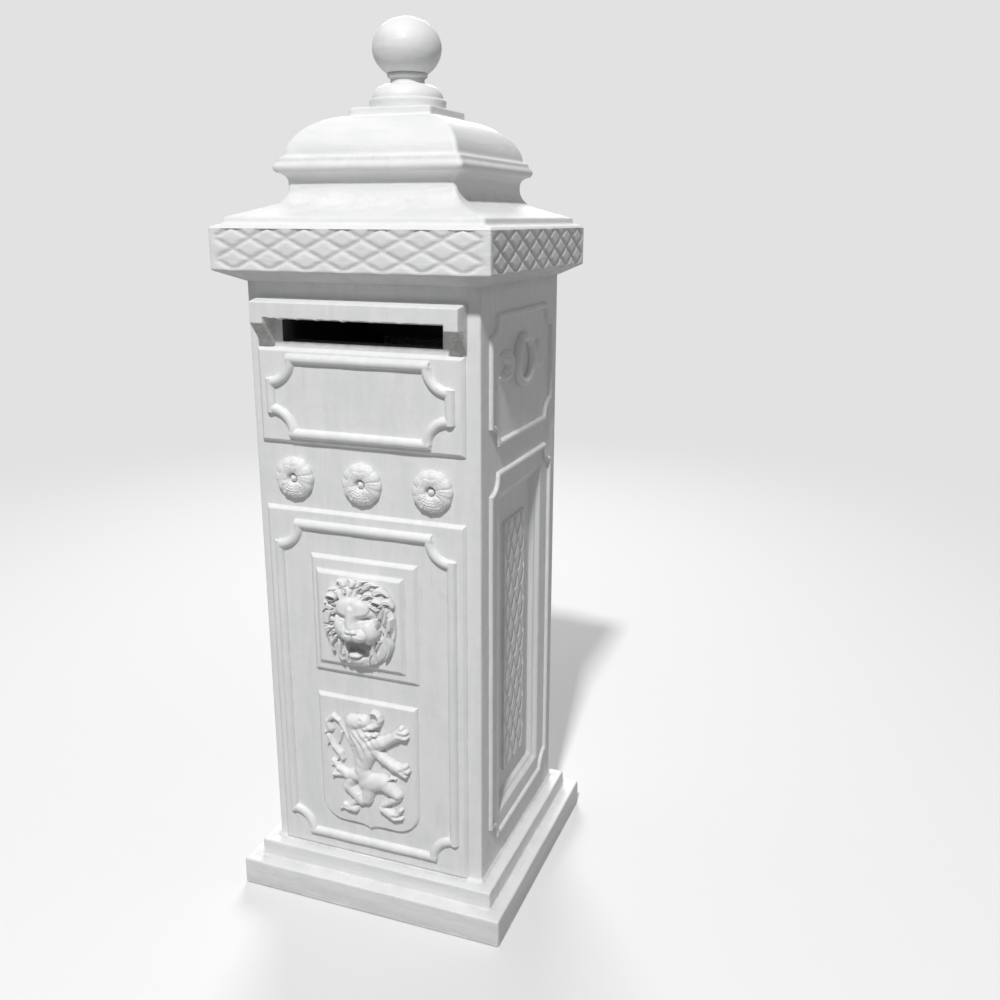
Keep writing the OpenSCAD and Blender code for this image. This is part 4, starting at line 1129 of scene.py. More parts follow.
    def heights(self, x: Array, y: Array) -> Array:
        """Height of the lion's head over its plate.

        Args:
            x: Places across from the head's middle.
            y: Places upwards from the head's middle.

        Returns:
            The height: the face joined to the mane with a small fillet, less the open mouth, and
            the lower lip and chin.
        """
        height = soft_max(self.face(x, y), self.mane(x, y), 1.2)
        height = height * (1.0 - 0.9 * self.mouth(x, y))
        lip = 17.0 * oval(x, y, (-1.0, -42.5), (10.0, 3.8)) ** 0.4
        chin = 12.0 * oval(x, y, (0.0, -50.0), (13.0, 9.5)) ** 0.8
        return np.maximum(height, soft_max(lip, chin, 2.0))

    def mouth(self, x: Array, y: Array) -> Array:
        """The open mouth, 1 inside: a rounded field below the muzzle that narrows downwards.

        Args:
            x: Places across.
            y: Places upwards.

        Returns:
            The share of the height that is cut away.
        """
        middle = np.abs(x - 2.5)
        field_x = round_edge(18.0 - middle - 0.2 * np.abs(y + 30.0), 3.0)
        return field_x * round_edge(-y - 16.5 - 0.1 * middle, 2.0) * round_edge(y + 47.0, 4.0)

    def mane(self, x: Array, y: Array) -> Array:
        """Height of the mane: curled locks over a low dome, each a curl that cuts a moat round itself.

        Args:
            x: Places across.
            y: Places upwards.

        Returns:
            The highest of all locks.
        """
        highest = 11.5 * oval(x, y, (1.5, 1.0), (54.0, 62.0)) ** 0.45
        for root, tip, bend, width, rise in self.locks:
            moat = curl(x, y, root, tip, bend, width * 1.3)
            lowered = highest * (1.0 - 0.42 * np.sqrt(moat))
            highest = np.maximum(lowered, rise * curl(x, y, root, tip, bend, width))
        return highest

    def face(self, x: Array, y: Array) -> Array:
        """Height of the face.

        The middle line of the face leans to the right below the eyes. A flat skull carries forehead,
        brows, cheeks, a straight nose that widens downwards and two muzzle pads as domes and
        swellings. Eye sockets, nostrils and a crease over the nose are cut in.

        Args:
            x: Places across.
            y: Places upwards.

        Returns:
            The height.
        """
        lean = 4.0 * unit((10.0 - y) / 18.0)
        x = x - lean
        side = np.abs(x)
        skull = 23.0 * oval(x, y, (0.0, 8.0), (31.0, 36.0)) ** 0.6
        forehead = 25.0 * oval(x, y, (0.0, 27.0), (25.0, 14.0)) ** 0.3
        height = soft_max(skull, forehead, 4.0)
        share, distance = along_stretch(side, y, (6.0, 18.5), (25.0, 22.5))
        height = height + (1.4 + 0.8 * share) * hump(distance / 4.5) * (height > 4)
        height = height - 2.2 * hump(x / 2.6) * bell(x, y, (0.0, 29.0), (9.0, 9.0))
        cheek = 24.5 * oval(side, y, (20.0, -3.0), (13.0, 19.0)) ** 0.7
        height = soft_max(height, cheek, 5.0)
        share, distance = along_stretch(side, y, (0.0, 25.0), (0.0, 3.0))
        bridge = (27.5 + 4.0 * share) * np.sqrt(unit(1.0 - (distance / (8.5 + 4.0 * share)) ** 2)) ** 0.6
        height = soft_max(height, bridge, 4.0)
        for rise, middle, radii, power, fillet in self.muzzle:
            height = soft_max(height, rise * oval(side, y, middle, radii) ** power, fillet)
        height = height - 2.2 * bell(side, y, (5.5, -5.0), (2.2, 1.4))
        height = height - 1.1 * hump(x / 1.0) * (y < -5.0) * (y > -18.0)
        whisker = np.cos(y / 1.1 + 0.25 * side) * bell(side, y, (12.0, -8.0), (6.0, 6.0))
        height = height + 0.35 * whisker
        slant = y - 0.05 * (side - 18.5)
        socket = bell(side, slant, (18.8, 12.9), (7.6, 3.0))
        height = height - 8.0 * socket
        ball = 2.4 * oval(side, slant, (17.5, 11.0), (6.0, 2.4))
        height = height + ball
        ear = 20.0 * oval(side - 0.8 * lean, y, (33.5, 36.5), (9.0, 7.0)) ** 0.5
        ear = ear - 14.0 * oval(side - 0.8 * lean, y, (33.5, 35.0), (6.0, 4.0)) ** 0.5
        return np.maximum(height, ear)


@dataclass
class ShieldPlaque:
    """The shield with the lion rampant."""

    paint: Material
    point: float = 11.0
    turn: float = 30.0
    thickness: float = 5.0
    splay: float = 4.2
    rise: float = 10.6
    limbs: tuple = (
        # Chest, belly and hips
        ((-8, 150), (-2, 126), 17, 17, 1.0), ((-3, 122), (-9, 100), 16, 11, 0.9),
        ((-9, 98), (0, 80), 11, 15, 0.95),
        ((0, 80), (24, 84), 15, 13, 1.0), ((2, 74), (-2, 54), 12, 9, 0.85),
        # Head, curled muzzle and lower jaw
        ((-20, 169), (-3, 173), 12, 10, 1.0), ((8, 187), (12, 190), 1.6, 2.3, 0.7),
        ((12, 190), (17, 190), 2.3, 2.9, 0.8),
        ((17, 190), (21, 186), 2.9, 3.3, 0.85), ((21, 186), (23, 180), 3.3, 3.6, 0.9),
        ((23, 180), (20, 173), 3.6, 3.8, 0.9),
        ((20, 173), (12, 168), 3.8, 4.4, 0.9), ((12, 168), (-2, 164), 4.4, 5, 0.85),
        ((-14, 152), (15, 157), 6, 4, 0.9),
        ((-22, 160), (-16, 140), 8, 9, 0.85),
        # Upper foreleg with its claws
        ((2, 139), (27, 147), 12, 9, 0.95), ((27, 147), (46, 159), 8.5, 7, 0.9),
        ((46, 159), (54, 166), 8, 8, 0.95),
        ((52, 168), (54, 173), 4.5, 4, 0.85), ((56, 165), (60, 168), 4.5, 4, 0.85),
        ((55, 160), (61, 161), 4.5, 4, 0.85),
        # Lower foreleg with its claws
        ((12, 132), (24, 124), 9, 7.5, 0.8), ((23, 124), (41, 114), 7.5, 8, 0.9),
        ((41, 114), (54, 110), 8.5, 8, 0.95),
        ((54, 115), (59, 117), 4.5, 4, 0.85), ((56, 110), (62, 110), 4.5, 4, 0.9),
        ((54, 105), (59, 103), 4.5, 4, 0.85),
        # Right hind leg
        ((24, 84), (46, 70), 13, 7.5, 0.95), ((45, 64), (24, 50), 5.5, 5, 0.7),
        ((22, 44), (40, 35), 6, 8, 0.8),
        ((40, 35), (51, 48), 6, 3, 0.75), ((42, 33), (52, 35), 4, 2, 0.7),
        # Left hind leg
        ((-26, 79), (-30, 68), 8, 9, 0.8), ((-30, 68), (-10, 50), 9, 8, 0.85),
        ((-18, 48), (-28, 38), 5, 5, 0.6),
        ((-37, 36), (-22, 34), 5, 6.5, 0.75), ((-40, 33), (-45, 29), 3, 1.5, 0.5),
        # Tail with its three tufts
        ((-14, 112), (-23, 135), 4, 3.5, 0.55), ((-23, 135), (-32, 154), 3.5, 3.5, 0.55),
        ((-32, 154), (-41, 168), 3.5, 3.5, 0.55), ((-41, 168), (-50, 173), 3.5, 4, 0.6),
        ((-50, 173), (-60, 164), 4, 4, 0.6), ((-60, 164), (-56, 153), 4, 6, 0.6),
        ((-59, 142), (-51, 128), 4, 4.5, 0.6),
        ((-51, 128), (-42, 118), 4.5, 6, 0.65), ((-42, 118), (-38, 110), 6, 4, 0.6),
        ((-38, 150), (-43, 134), 2.5, 2.5, 0.35), ((-53, 104), (-45, 94), 3.5, 5, 0.55),
        ((-45, 94), (-30, 86), 5, 8, 0.65), ((-54, 82), (-38, 86), 2.5, 5.5, 0.55),
        ((-30, 86), (-12, 88), 8, 10, 0.8),
    )
    tufts: tuple = (
        # Mane over neck and chest, as root, tip, bend, half width and height
        ((-12, 160), (-26, 150), -3, 5.5, 0.92), ((-8, 152), (-24, 138), -3, 6, 0.98),
        ((-6, 144), (-20, 126), -3, 6, 1.04),
        ((0, 138), (-14, 116), -3, 6, 1.06), ((6, 150), (-6, 134), -3, 5.5, 1.1),
        ((10, 142), (0, 124), -3, 5.5, 1.06),
        ((-4, 122), (-14, 106), -2, 5, 0.98), ((6, 126), (-2, 108), -2.5, 5, 0.98),
        # Elbows, hips and heels
        ((26, 139), (18, 128), -2, 4, 0.85), ((30, 120), (22, 108), -2, 4, 0.8),
        ((-28, 90), (-40, 98), 2, 4, 0.7),
        ((34, 92), (45, 94), 2, 4.5, 0.8), ((28, 56), (34, 48), -1.5, 3.5, 0.65),
        ((-14, 60), (-26, 58), -2, 4, 0.9),
        # Tail brushes
        ((-58, 150), (-66, 146), 1.5, 4, 0.6), ((-54, 134), (-62, 124), -1.5, 3.5, 0.55),
        ((-44, 116), (-48, 104), 2, 4, 0.6),
        ((-44, 96), (-58, 96), -1.5, 4, 0.6), ((-40, 86), (-56, 74), -1.5, 3.5, 0.55),
    )
    paws: tuple = ((53, 165), (56, 110), (43, 36), (-36, 36))

    def carving(self, x: Array, y: Array) -> Array:
        """Height of the lion over the shield, about 1 at its highest.

        Limbs are round backs along straight stretches, joined with small fillets. Tufts are curls,
        and each paw is cut by three grooves between its toes.

        Args:
            x: Places across from the shield's middle line.
            y: Places upwards from its point.

        Returns:
            The height.
        """
        height = np.zeros(np.broadcast(x, y).shape)
        for start, end, first, last, crown in self.limbs:
            share, distance = along_stretch(x, y, start, end)
            ratio = distance / (first + (last - first) * share)
            back = crown * np.sqrt(unit(1.0 - ratio * ratio))
            height = np.where(back > 0.0, soft_max(height, back, 0.16), height)
        for root, tip, bend, width, crown in self.tufts:
            height = np.maximum(height, crown * curl(x, y, root, tip, bend, width))
        for paw_x, paw_y in self.paws:
            facing = 1.0 if paw_x > 0 else -1.0
            near = bell(x, y, (paw_x, paw_y), (8.0, 9.0))
            toes = 0.5 + 0.5 * np.cos((y - paw_y) / 1.3)
            height = height - 0.2 * near * toes * (facing * (x - paw_x) > -6.0) * (height > 0.1)
        hair = np.sin(x / 1.7 + y / 2.9 + 1.6 * np.sin(y / 8.0))
        ribs = 0.13 * hair * bell(x, y, (-5.0, 142.0), (17.0, 22.0))
        ribs = ribs + 0.03 * np.sin(x / 3.1 + 2.0 * np.sin(y / 9.0)) * np.sin(y / 4.3)
        eye = 0.2 * bell(x, y, (-6.0, 176.0), (2.2, 1.8)) - 0.1 * bell(x, y, (-6.0, 180.5), (4.0, 1.6))
        return np.clip(height + (ribs - eye) * (height > 0.2), 0.0, None)

    def build(self, plane: Plane) -> None:
        """Makes the shield in its node's place.

        Args:
            plane: The front panel's face.
        """
        low, high = node_box("lion_shield")
        half, tall = (high[0] - low[0]) / 2, high[2] - low[2]
        y = graded(0.0, tall, 0.85, [(0.0, 4.0, 0.4), (tall - 6.0, tall, 0.6)])[:, None]
        lower = (half - self.turn) * (np.clip(y, 0.0, self.point) / self.point) ** 2
        over = np.clip(self.point + self.turn - y, 0.0, self.turn)
        side = half - self.turn + np.sqrt(np.clip(self.turn**2 - over**2, 0.0, None))
        edge = np.where(y < self.point, np.maximum(lower, 0.6), side)
        inner = np.linspace(-1.0, 1.0, 176)
        share = np.sign(inner) * (1.0 - (1.0 - np.abs(inner)) ** 1.12)
        x = edge * share[None, :]
        y = np.broadcast_to(y, x.shape)
        above = y - self.point * np.sqrt(np.abs(x) / (half - self.turn))
        curved = np.where(y < self.point, above * 0.8, 99.0)
        inwards = np.minimum.reduce([edge - np.abs(x), tall - y, np.maximum(curved, 0.0)])
        foot = self.thickness - self.splay
        ground = soft_steps(inwards, [0.0, 0.1, self.splay], [foot, foot, self.thickness], 0.8)
        height = ground + self.rise * self.carving(x, y) * round_edge(inwards, 4.0)
        middle = (low[0] + high[0]) / 2
        # Painted shade, partly dirt, in the carving's hollows and along the shield's edge
        soil = np.maximum(hollows(height, 4, 3.5), unit(1.0 - inwards / 1.4) * 0.5)
        surface = relief(plane, x + middle, y + low[2], height, soil)
        add_piece("shield_lion", surface, self.paint, ("lion_shield",), sharp=75.0)


@dataclass
class SideOrnaments:
    """Ring and leaves in an upper side panel, and the diamond plaque in the sunk field."""

    paint: Material
    side: Side
    label: str
    ring: float = 30.0
    tube: float = 6.5
    leaf: float = 56.0
    lattice: DiamondField = DiamondField(25.6, 51.0, 8.5, 2.9, 0.5)
    lattice_border: float = 3.0

    def build(self, half: float) -> None:
        """Makes both ornaments of the side at that distance from the middle."""
        self.build_lattice()
        self.build_motif(half)

    def build_lattice(self) -> None:
        """Makes the diamond plaque on lines that follow its grooves."""
        node = "lattice_panel_" + self.label
        low, high = node_box(node)
        width, tall, thick = high[1] - low[1], high[2] - low[2], high[0] - low[0]
        inner = min(abs(low[0]), abs(high[0]))
        pitch_x, pitch_y = self.lattice.length_x / 20, self.lattice.length_y / 20
        count_x, count_y = int((width / 2 - 2.5) / pitch_x), int((tall / 2 - 2.5) / pitch_y)
        rim = np.array([0.0, 0.4, 0.9, 1.6])
        across = np.arange(-count_x, count_x + 1) * pitch_x
        upwards = np.arange(-count_y, count_y + 1) * pitch_y
        across = np.concatenate([rim - width / 2, across, width / 2 - rim[::-1]])
        upwards = np.concatenate([rim - tall / 2, upwards, tall / 2 - rim[::-1]])
        x, z = np.meshgrid(across, upwards)
        inwards = np.minimum(width / 2 - np.abs(x), tall / 2 - np.abs(z))
        grooves = self.lattice.heights(x, z) * unit((inwards - self.lattice_border + 1.0) / 1.0)
        height = thick * round_edge(inwards, 1.6) + grooves
        # Painted shade, partly dirt, in the diamond grooves and along the plaque's edge
        soil = unit(-grooves / 2.0) * 0.55 + unit(1.0 - inwards) * 0.3
        surface = relief(Plane(self.side, inner), x, z + (low[2] + high[2]) / 2, height, soil)
        add_piece("diamond_plaque_" + self.label, surface, self.paint, (node,), sharp=80.0)

    def build_motif(self, half: float) -> None:
        """Makes the ring, a round bar bent to a circle, and its four folded leaves.

        Args:
            half: Distance of the side from the middle.
        """
        node = "side_motif_" + self.label
        low, high = node_box(node)
        middle = (low[2] + high[2]) / 2
        plane = Plane(self.side, half)
        angle, section = np.meshgrid(
            np.linspace(0.0, math.tau, 120, endpoint=False), np.linspace(204.0, -24.0, 23), indexing="ij"
        )
        section = np.radians(section)
        radius = self.ring + self.tube * np.cos(section) * (1.0 + 0.02 * np.cos(12 * angle))
        height = np.clip(self.tube * 0.4 + self.tube * np.sin(section), 0.0, None)
        ring_points = plane.place(radius * np.cos(angle), middle + radius * np.sin(angle), height)
        steps, count = angle.shape
        wrap = np.arange(count * (steps - 1), count * steps)
        following = np.roll(wrap, -1)
        last = np.stack([wrap, following, following % count, wrap % count], axis=-1)
        ring = Surface(
            ring_points.reshape(-1, 3),
            np.concatenate([grid_quads(steps, count, closed=True), last]),
            NO_TRIANGLES,
            # Painted shade, partly dirt, low on the ring where it meets the wall
            unit(1.0 - height / 2.0).reshape(-1) * 0.5,
        )
        leaves = [self.leaf_surface(plane, middle, way, tilt) for way in (-1, 1) for tilt in (-14.0, 14.0)]
        surface = Surface.joined([ring, *leaves])
        add_piece("ring_and_leaves_" + self.label, surface, self.paint, (node,), sharp=70.0)

    def leaf_surface(self, plane: Plane, middle: float, way: int, tilt: float) -> Surface:
        """Makes one pointed leaf with a midrib and slanted side veins.

        Its half width is the sine of half a turn over its length, bent outwards by a slight curve,
        and its crown is an arch across with a groove along the middle.

        Args:
            plane: The side's face.
            middle: Height of the ring's middle above the ground.
            way: 1 for a leaf that points right, -1 for left.
            tilt: Angle upwards in degrees.

        Returns:
            The closed leaf.
        """
        share, across = np.meshgrid(np.linspace(0.0, 1.0, 70), np.linspace(-1.0, 1.0, 35), indexing="ij")
        width = 0.8 + self.leaf * 0.18 * np.sin(math.pi * share**0.8) * (1.0 + 0.05 * np.sin(share * 40.0))
        arch = np.sin(math.pi * share**0.7) * (1.0 - across**2) * (0.75 + 0.25 * np.abs(across))
        veins = 0.35 * np.sin(share * 44.0 - np.abs(across) * 7.0) * np.sin(math.pi * share)
        rib = 0.9 * hump(across / 0.09) * np.sin(math.pi * unit(share))
        height = 1.2 + self.tube * arch + veins * (1.0 - across**2) - rib
        bend = 3.0 * np.sin(math.pi * share) * math.copysign(1.0, tilt) * way
        along, beside = self.leaf * share, width * across + bend * way
        turn = math.radians(tilt)
        start = self.ring + self.tube * 0.7
        x = way * (start + along * math.cos(turn) - beside * math.sin(turn))
        z = middle + along * math.sin(turn) + beside * math.cos(turn)
        if way > 0:
            x, z, height = x[:, ::-1], z[:, ::-1], height[:, ::-1]
        # Painted shade, partly dirt, in the leaf's hollows
        return relief(plane, x, z, height, hollows(height, 2, 1.5) * 0.7)


@dataclass
class MouldedCap:
    """The square cap: diamond band, hollow moulding, neck, roll, dome and block."""

    paint: Material
    pillar_half: Pair = (160.0, 150.0)
    bed: float = 14.5
    band: float = 53.5
    cove: float = 47.5
    neck: float = 115.0
    roll: float = 12.0
    dome: float = 49.0
    block_half: float = 57.0
    block: float = 11.0
    lip: float = 12.0
    hollow: float = 87.0
    lattice: DiamondField = DiamondField(51.0, 25.6, 6.5, 2.5, 0.0)

    def upper_line(self, half: float) -> list[Pair]:
        """Corner points of the moulding above the band.

        Args:
            half: Half width of the band.

        Returns:
            Pairs of half width and height above the pillar.
        """
        band_top = self.bed + self.band
        neck_z = band_top + self.cove
        roll_z = neck_z + 16.5
        dome_z = roll_z + self.roll + 8.0
        dome_half = self.neck + 3.0
        line = [(half, band_top - 3.0), (half - 2.0, band_top)]
        line += [(half - 12.0, band_top + 3.0), (half - 13.0, band_top + 10.0)]
        turns = np.radians(np.linspace(20.0, 90.0, 12))
        line += [(self.neck + 24.5 - 24.5 * math.sin(a), neck_z - 24.5 * math.cos(a)) for a in turns]
        line += arc((self.neck + 12.0, neck_z + 4.5), 12.0, 180.0, 90.0)
        line += arc((self.neck + 14.0 - self.roll / 2, roll_z + self.roll / 2), self.roll / 2, -60.0, 60.0)
        fillet = self.neck + 9.0
        line += [(fillet, roll_z + self.roll + 1.0), (fillet, dome_z - 3.0), (dome_half, dome_z)]
        for step in np.radians(np.linspace(6.0, 90.0, 15)):
            reach = (dome_half - self.block_half) * math.cos(step) ** (2 / 1.8)
            line.append((self.block_half + reach, dome_z + self.dome * math.sin(step) ** (2 / 1.8)))
        top = dome_z + self.dome + self.block
        return line + [(self.block_half, top), (self.block_half - 8.0, top)]

    def build(self) -> None:
        """Carries the moulding line round all four sides and presses the diamonds into the band."""
        low, high = node_box("cap")
        base = low[2] + self.lip
        half = high[0]
        top = high[2] - base
        band_step = self.lattice.length_y / 14
        band_middle = self.bed + self.band / 2
        count = int((self.band / 2 - 1.2) / band_step)
        band_rows = band_middle + np.arange(-count, count + 1) * band_step
        edge = [(half - 1.0, half - 1.0, self.bed - 0.5), (half, half, self.bed + 1.0)]
        under = soft_line([(*self.pillar_half, 0.0), *edge], 2.0, 1.0)
        band = np.stack([np.full(len(band_rows), half), np.full(len(band_rows), half), band_rows], axis=1)
        upper = soft_line([(a, a, z) for a, z in self.upper_line(half)], 2.1, 2.2)
        mouth = self.hollow + 22.0
        inside = np.array(
            [
                (0.0, 0.0, 148.0),
                (self.hollow - 25.0, self.hollow - 25.0, 148.0),
                (self.hollow, self.hollow, 140.0),
                (self.hollow, self.hollow, self.bed + self.band + self.cove - 24.0),
                (mouth, mouth, self.bed + self.band - 32.0),
                (mouth, mouth, -self.lip),
                (self.pillar_half[0] - 31.0, self.pillar_half[1] - 31.0, -self.lip),
                (self.pillar_half[0] - 31.0, self.pillar_half[1] - 31.0, 0.0),
            ]
        )
        line = np.concatenate([inside, under, band, upper, [(0.0, 0.0, top)]])
        rounding = np.minimum(np.where(line[:, 2] > self.bed + self.band, 5.0, 3.0), line[:, :2].min(axis=1))
        rounding[: len(inside)] = np.minimum(1.0, line[: len(inside), 0])
        column_step = self.lattice.length_x / 14
        count = int((half - 3.0) / column_step)
        share = np.concatenate([[-1.0], np.arange(-count, count + 1) * column_step / (half - 3.0), [1.0]])
        columns = LoopColumns.around([share] * 4, 5)
        along = columns.along(line[:, :2], rounding)
        in_band = np.zeros(len(line), dtype=bool)
        in_band[len(inside) + len(under) : len(inside) + len(under) + len(band)] = True
        grooves = self.lattice.heights(along, line[:, 2:3] - band_middle)
        margin = unit((3.5 * self.lattice.length_x - np.abs(along)) / 1.5)
        lift = np.where(in_band[:, None] & (columns.turn == 0.0)[None, :], grooves * margin, 0.0)
        wavy = uneven(along + 61.0 * columns.number[None, :], line[:, 2:3] + line[:, 0:1], 0.45)
        outside = np.arange(len(line)) >= len(inside) + len(under)
        outside[-1] = False
        lifted = lift + wavy * (outside & ~in_band)[:, None]
        points = columns.points(line[:, :2], rounding, line[:, 2] + base, lifted)
        soil = self.soil(line, lift, in_band, outside)
        add_piece("moulded_cap", looped(points, soil), self.paint, ("cap",), sharp=80.0)

    def soil(self, line: Array, lift: Array, in_band: Array, outside: Array) -> Array:
        """Dirt and painted shade on the cap: painted shade, partly dirt, in the grooves; painted shade under
        the band; dirt in the hollow moulding.

        Args:
            line: Half widths and height of each level.
            lift: Relief of the band.
            in_band: Which levels belong to the band.
            outside: Which levels are seen from outside.

        Returns:
            The dirt and painted shade from 0 to 1, levels by lines.
        """
        neck_z = self.bed + self.band + self.cove
        cove = hump((line[:, 2] - neck_z + 20.0) / 12.0) * 0.35
        ledge = hump((line[:, 2] - neck_z - 30.0) / 4.0) * 0.4
        under = (line[:, 2] < self.bed) * 0.35
        level = np.where(outside, np.maximum(cove, ledge), under)[:, None]
        # Painted shade, partly dirt, in the grooves and painted shade under the band; the hollow moulding
        # carries dirt
        return np.maximum(unit(-lift / 2.4) * 0.6 * in_band[:, None], level)


@dataclass
class BallFinial:
    """The slightly flattened ball on its domed foot."""

    paint: Material
    ball: float = 44.5
    ball_tall: float = 37.5
    ball_height: float = 74.0
    foot: float = 50.0
    rim: float = 12.0
    dome: float = 18.0
    neck: float = 22.0
    collar: float = 26.2
    steps: int = 120

    def build(self) -> None:
        """Turns the finial's line round its axis."""
        base = node_box("ball_finial")[0][2]
        shoulder, edge = self.neck + 1.0, 2.5
        neck_low = self.rim + 2.5 + self.dome
        neck_top = neck_low + 5.5
        join = math.asin((self.collar + 0.8) / self.ball)
        line = [(0.0, 0.0), (self.foot - 1.0, 0.0)]
        line += arc((self.foot - edge, self.rim - edge), edge, 0.0, 90.0)
        for turn in np.radians(np.linspace(0.0, 90.0, 12)):
            reach = shoulder + (self.foot - 4.0 - shoulder) * math.cos(turn)
            line.append((reach, self.rim + 1.0 + self.dome * math.sin(turn)))
        line += [(self.neck, neck_low), (self.neck, neck_top)]
        line += arc((self.collar - 3.4, neck_top + 3.4), 3.4, -70.0, 70.0)
        line.append((self.ball * math.sin(join), self.ball_height - self.ball_tall * math.cos(join)))
        turned = soft_line(line, 0.8, 0.9)
        angles = np.linspace(join + 0.02, math.pi, 60)
        height = self.ball_height - self.ball_tall * np.cos(angles)
        ball = np.stack([self.ball * np.sin(angles), height], axis=1)
        ball[-1, 0] = 0.0
        profile = np.concatenate([turned, ball])
        turn = np.linspace(0.0, math.tau, self.steps, endpoint=False)
        wobble = 1.0 + np.sin(3 * turn[None, :] + profile[:, 1:2] / 9.0)
        wobble = 1.0 - 0.003 * wobble * (profile[:, 1:2] > 35.0)
        radius = profile[:, 0:1] * wobble
        x, y = radius * np.cos(turn), radius * np.sin(turn)
        z = np.broadcast_to(profile[:, 1:2] + base, x.shape)
        # Painted shade, partly dirt, in the groove at the top of the neck and at the foot's rim
        groove = hump((profile[:, 1] - neck_top) / 5.0) * 0.35
        soil = np.maximum(groove, hump((profile[:, 1] - self.rim) / 2.0) * 0.4)
        surface = looped(np.stack([x, y, z], axis=-1), np.repeat(soil, self.steps))
        add_piece("turned_finial", surface, self.paint, ("ball_finial",), sharp=60.0)


# Finishes


class Nodes:
    """A short way to add and join the nodes of one material or group."""

    def __init__(self, tree: NodeTree) -> None:
        """Keeps the tree."""
        self.tree = tree

    def feed(self, value: object, socket: NodeSocket) -> None:
        """Links an input to a socket, or sets it to a constant value."""
        if isinstance(value, NodeSocket):
            self.tree.links.new(value, socket)
        else:
            socket.default_value = value

    def add(self, kind: str, settings: dict | None = None, **inputs: object) -> Node:
        """Adds a node and fills its inputs.

        Args:
            kind: Node type without its ShaderNode prefix.
            settings: Values of the node's own options.
            inputs: Input values or sockets, by name with underscores, or in0, in1 by number.

        Returns:
            The node.
        """
        node = self.tree.nodes.new("ShaderNode" + kind)
        for name, value in (settings or {}).items():
            setattr(node, name, value)
        for name, value in inputs.items():
            numbered = name[:2] == "in" and name[2:].isdigit()
            self.feed(value, node.inputs[int(name[2:]) if numbered else name.replace("_", " ")])
        return node

    def math(self, operation: str, *values: object) -> NodeSocket:
        """The result of a Math node, carried on over all values from the first to the last."""
        options = {"operation": operation}
        return reduce(lambda a, b: self.add("Math", options, in0=a, in1=b).outputs[0], values)

    def ramp(self, value: object, low: float, high: float) -> NodeSocket:
        """Spreads a value smoothly so that low becomes 0 and high becomes 1, and keeps it inside."""
        options = {"interpolation_type": "SMOOTHSTEP"}
        return self.add("MapRange", options, Value=value, From_Min=low, From_Max=high).outputs["Result"]

    def vector(self, operation: str, first: object, second: object = (0.0, 0.0, 0.0)) -> Node:
        """Adds a Vector Math node with one or two vectors or sockets."""
        return self.add("VectorMath", {"operation": operation}, in0=first, in1=second)

    def noise(self, place: NodeSocket, scale: object, detail: float, roughness: float = 0.5) -> NodeSocket:
        """A noise pattern from 0 to 1, with its scale, number of finer layers and their strength."""
        return self.add("TexNoise", Vector=place, Scale=scale, Detail=detail, Roughness=roughness).outputs[0]

    def seen(self) -> NodeSocket:
        """1 for rays of the camera, of gloss and of transmission, 0 for all others."""
        path = self.add("LightPath").outputs
        rays = ("Is Camera Ray", "Is Glossy Ray", "Is Transmission Ray")
        return self.math("MAXIMUM", *(path[ray] for ray in rays))

    def mix(self, share: object, first: object, second: object) -> NodeSocket:
        """The mix of two colours or sockets, with the share of the second one."""
        return self.add("Mix", {"data_type": "RGBA"}, in0=share, in6=first, in7=second).outputs[2]


class Effect(Nodes):
    """A shader group with named inputs, the first one a place, and with value outputs."""

    def __init__(self, name: str, inputs: dict[str, object], outputs: list[str]) -> None:
        """Starts the group.

        Args:
            name: Name of the group.
            inputs: Default by socket name; a tuple makes it a vector.
            outputs: Names of the outputs.
        """
        super().__init__(bpy.data.node_groups.new(name, "ShaderNodeTree"))
        sockets = self.tree.interface
        sockets.new_socket(name="Vector", in_out="INPUT", socket_type="NodeSocketVector")
        for label, default in inputs.items():
            kind = "NodeSocketVector" if isinstance(default, tuple) else "NodeSocketFloat"
            sockets.new_socket(name=label, in_out="INPUT", socket_type=kind).default_value = default
        for label in outputs:
            sockets.new_socket(name=label, in_out="OUTPUT", socket_type="NodeSocketFloat")
        self.start = self.tree.nodes.new("NodeGroupInput").outputs

    def give(self, *results: NodeSocket) -> NodeTree:
        """Joins the results to the outputs, in order, and gives the finished group."""
        for result, output in zip(results, self.tree.nodes.new("NodeGroupOutput").inputs):
            self.tree.links.new(result, output)
        return self.tree


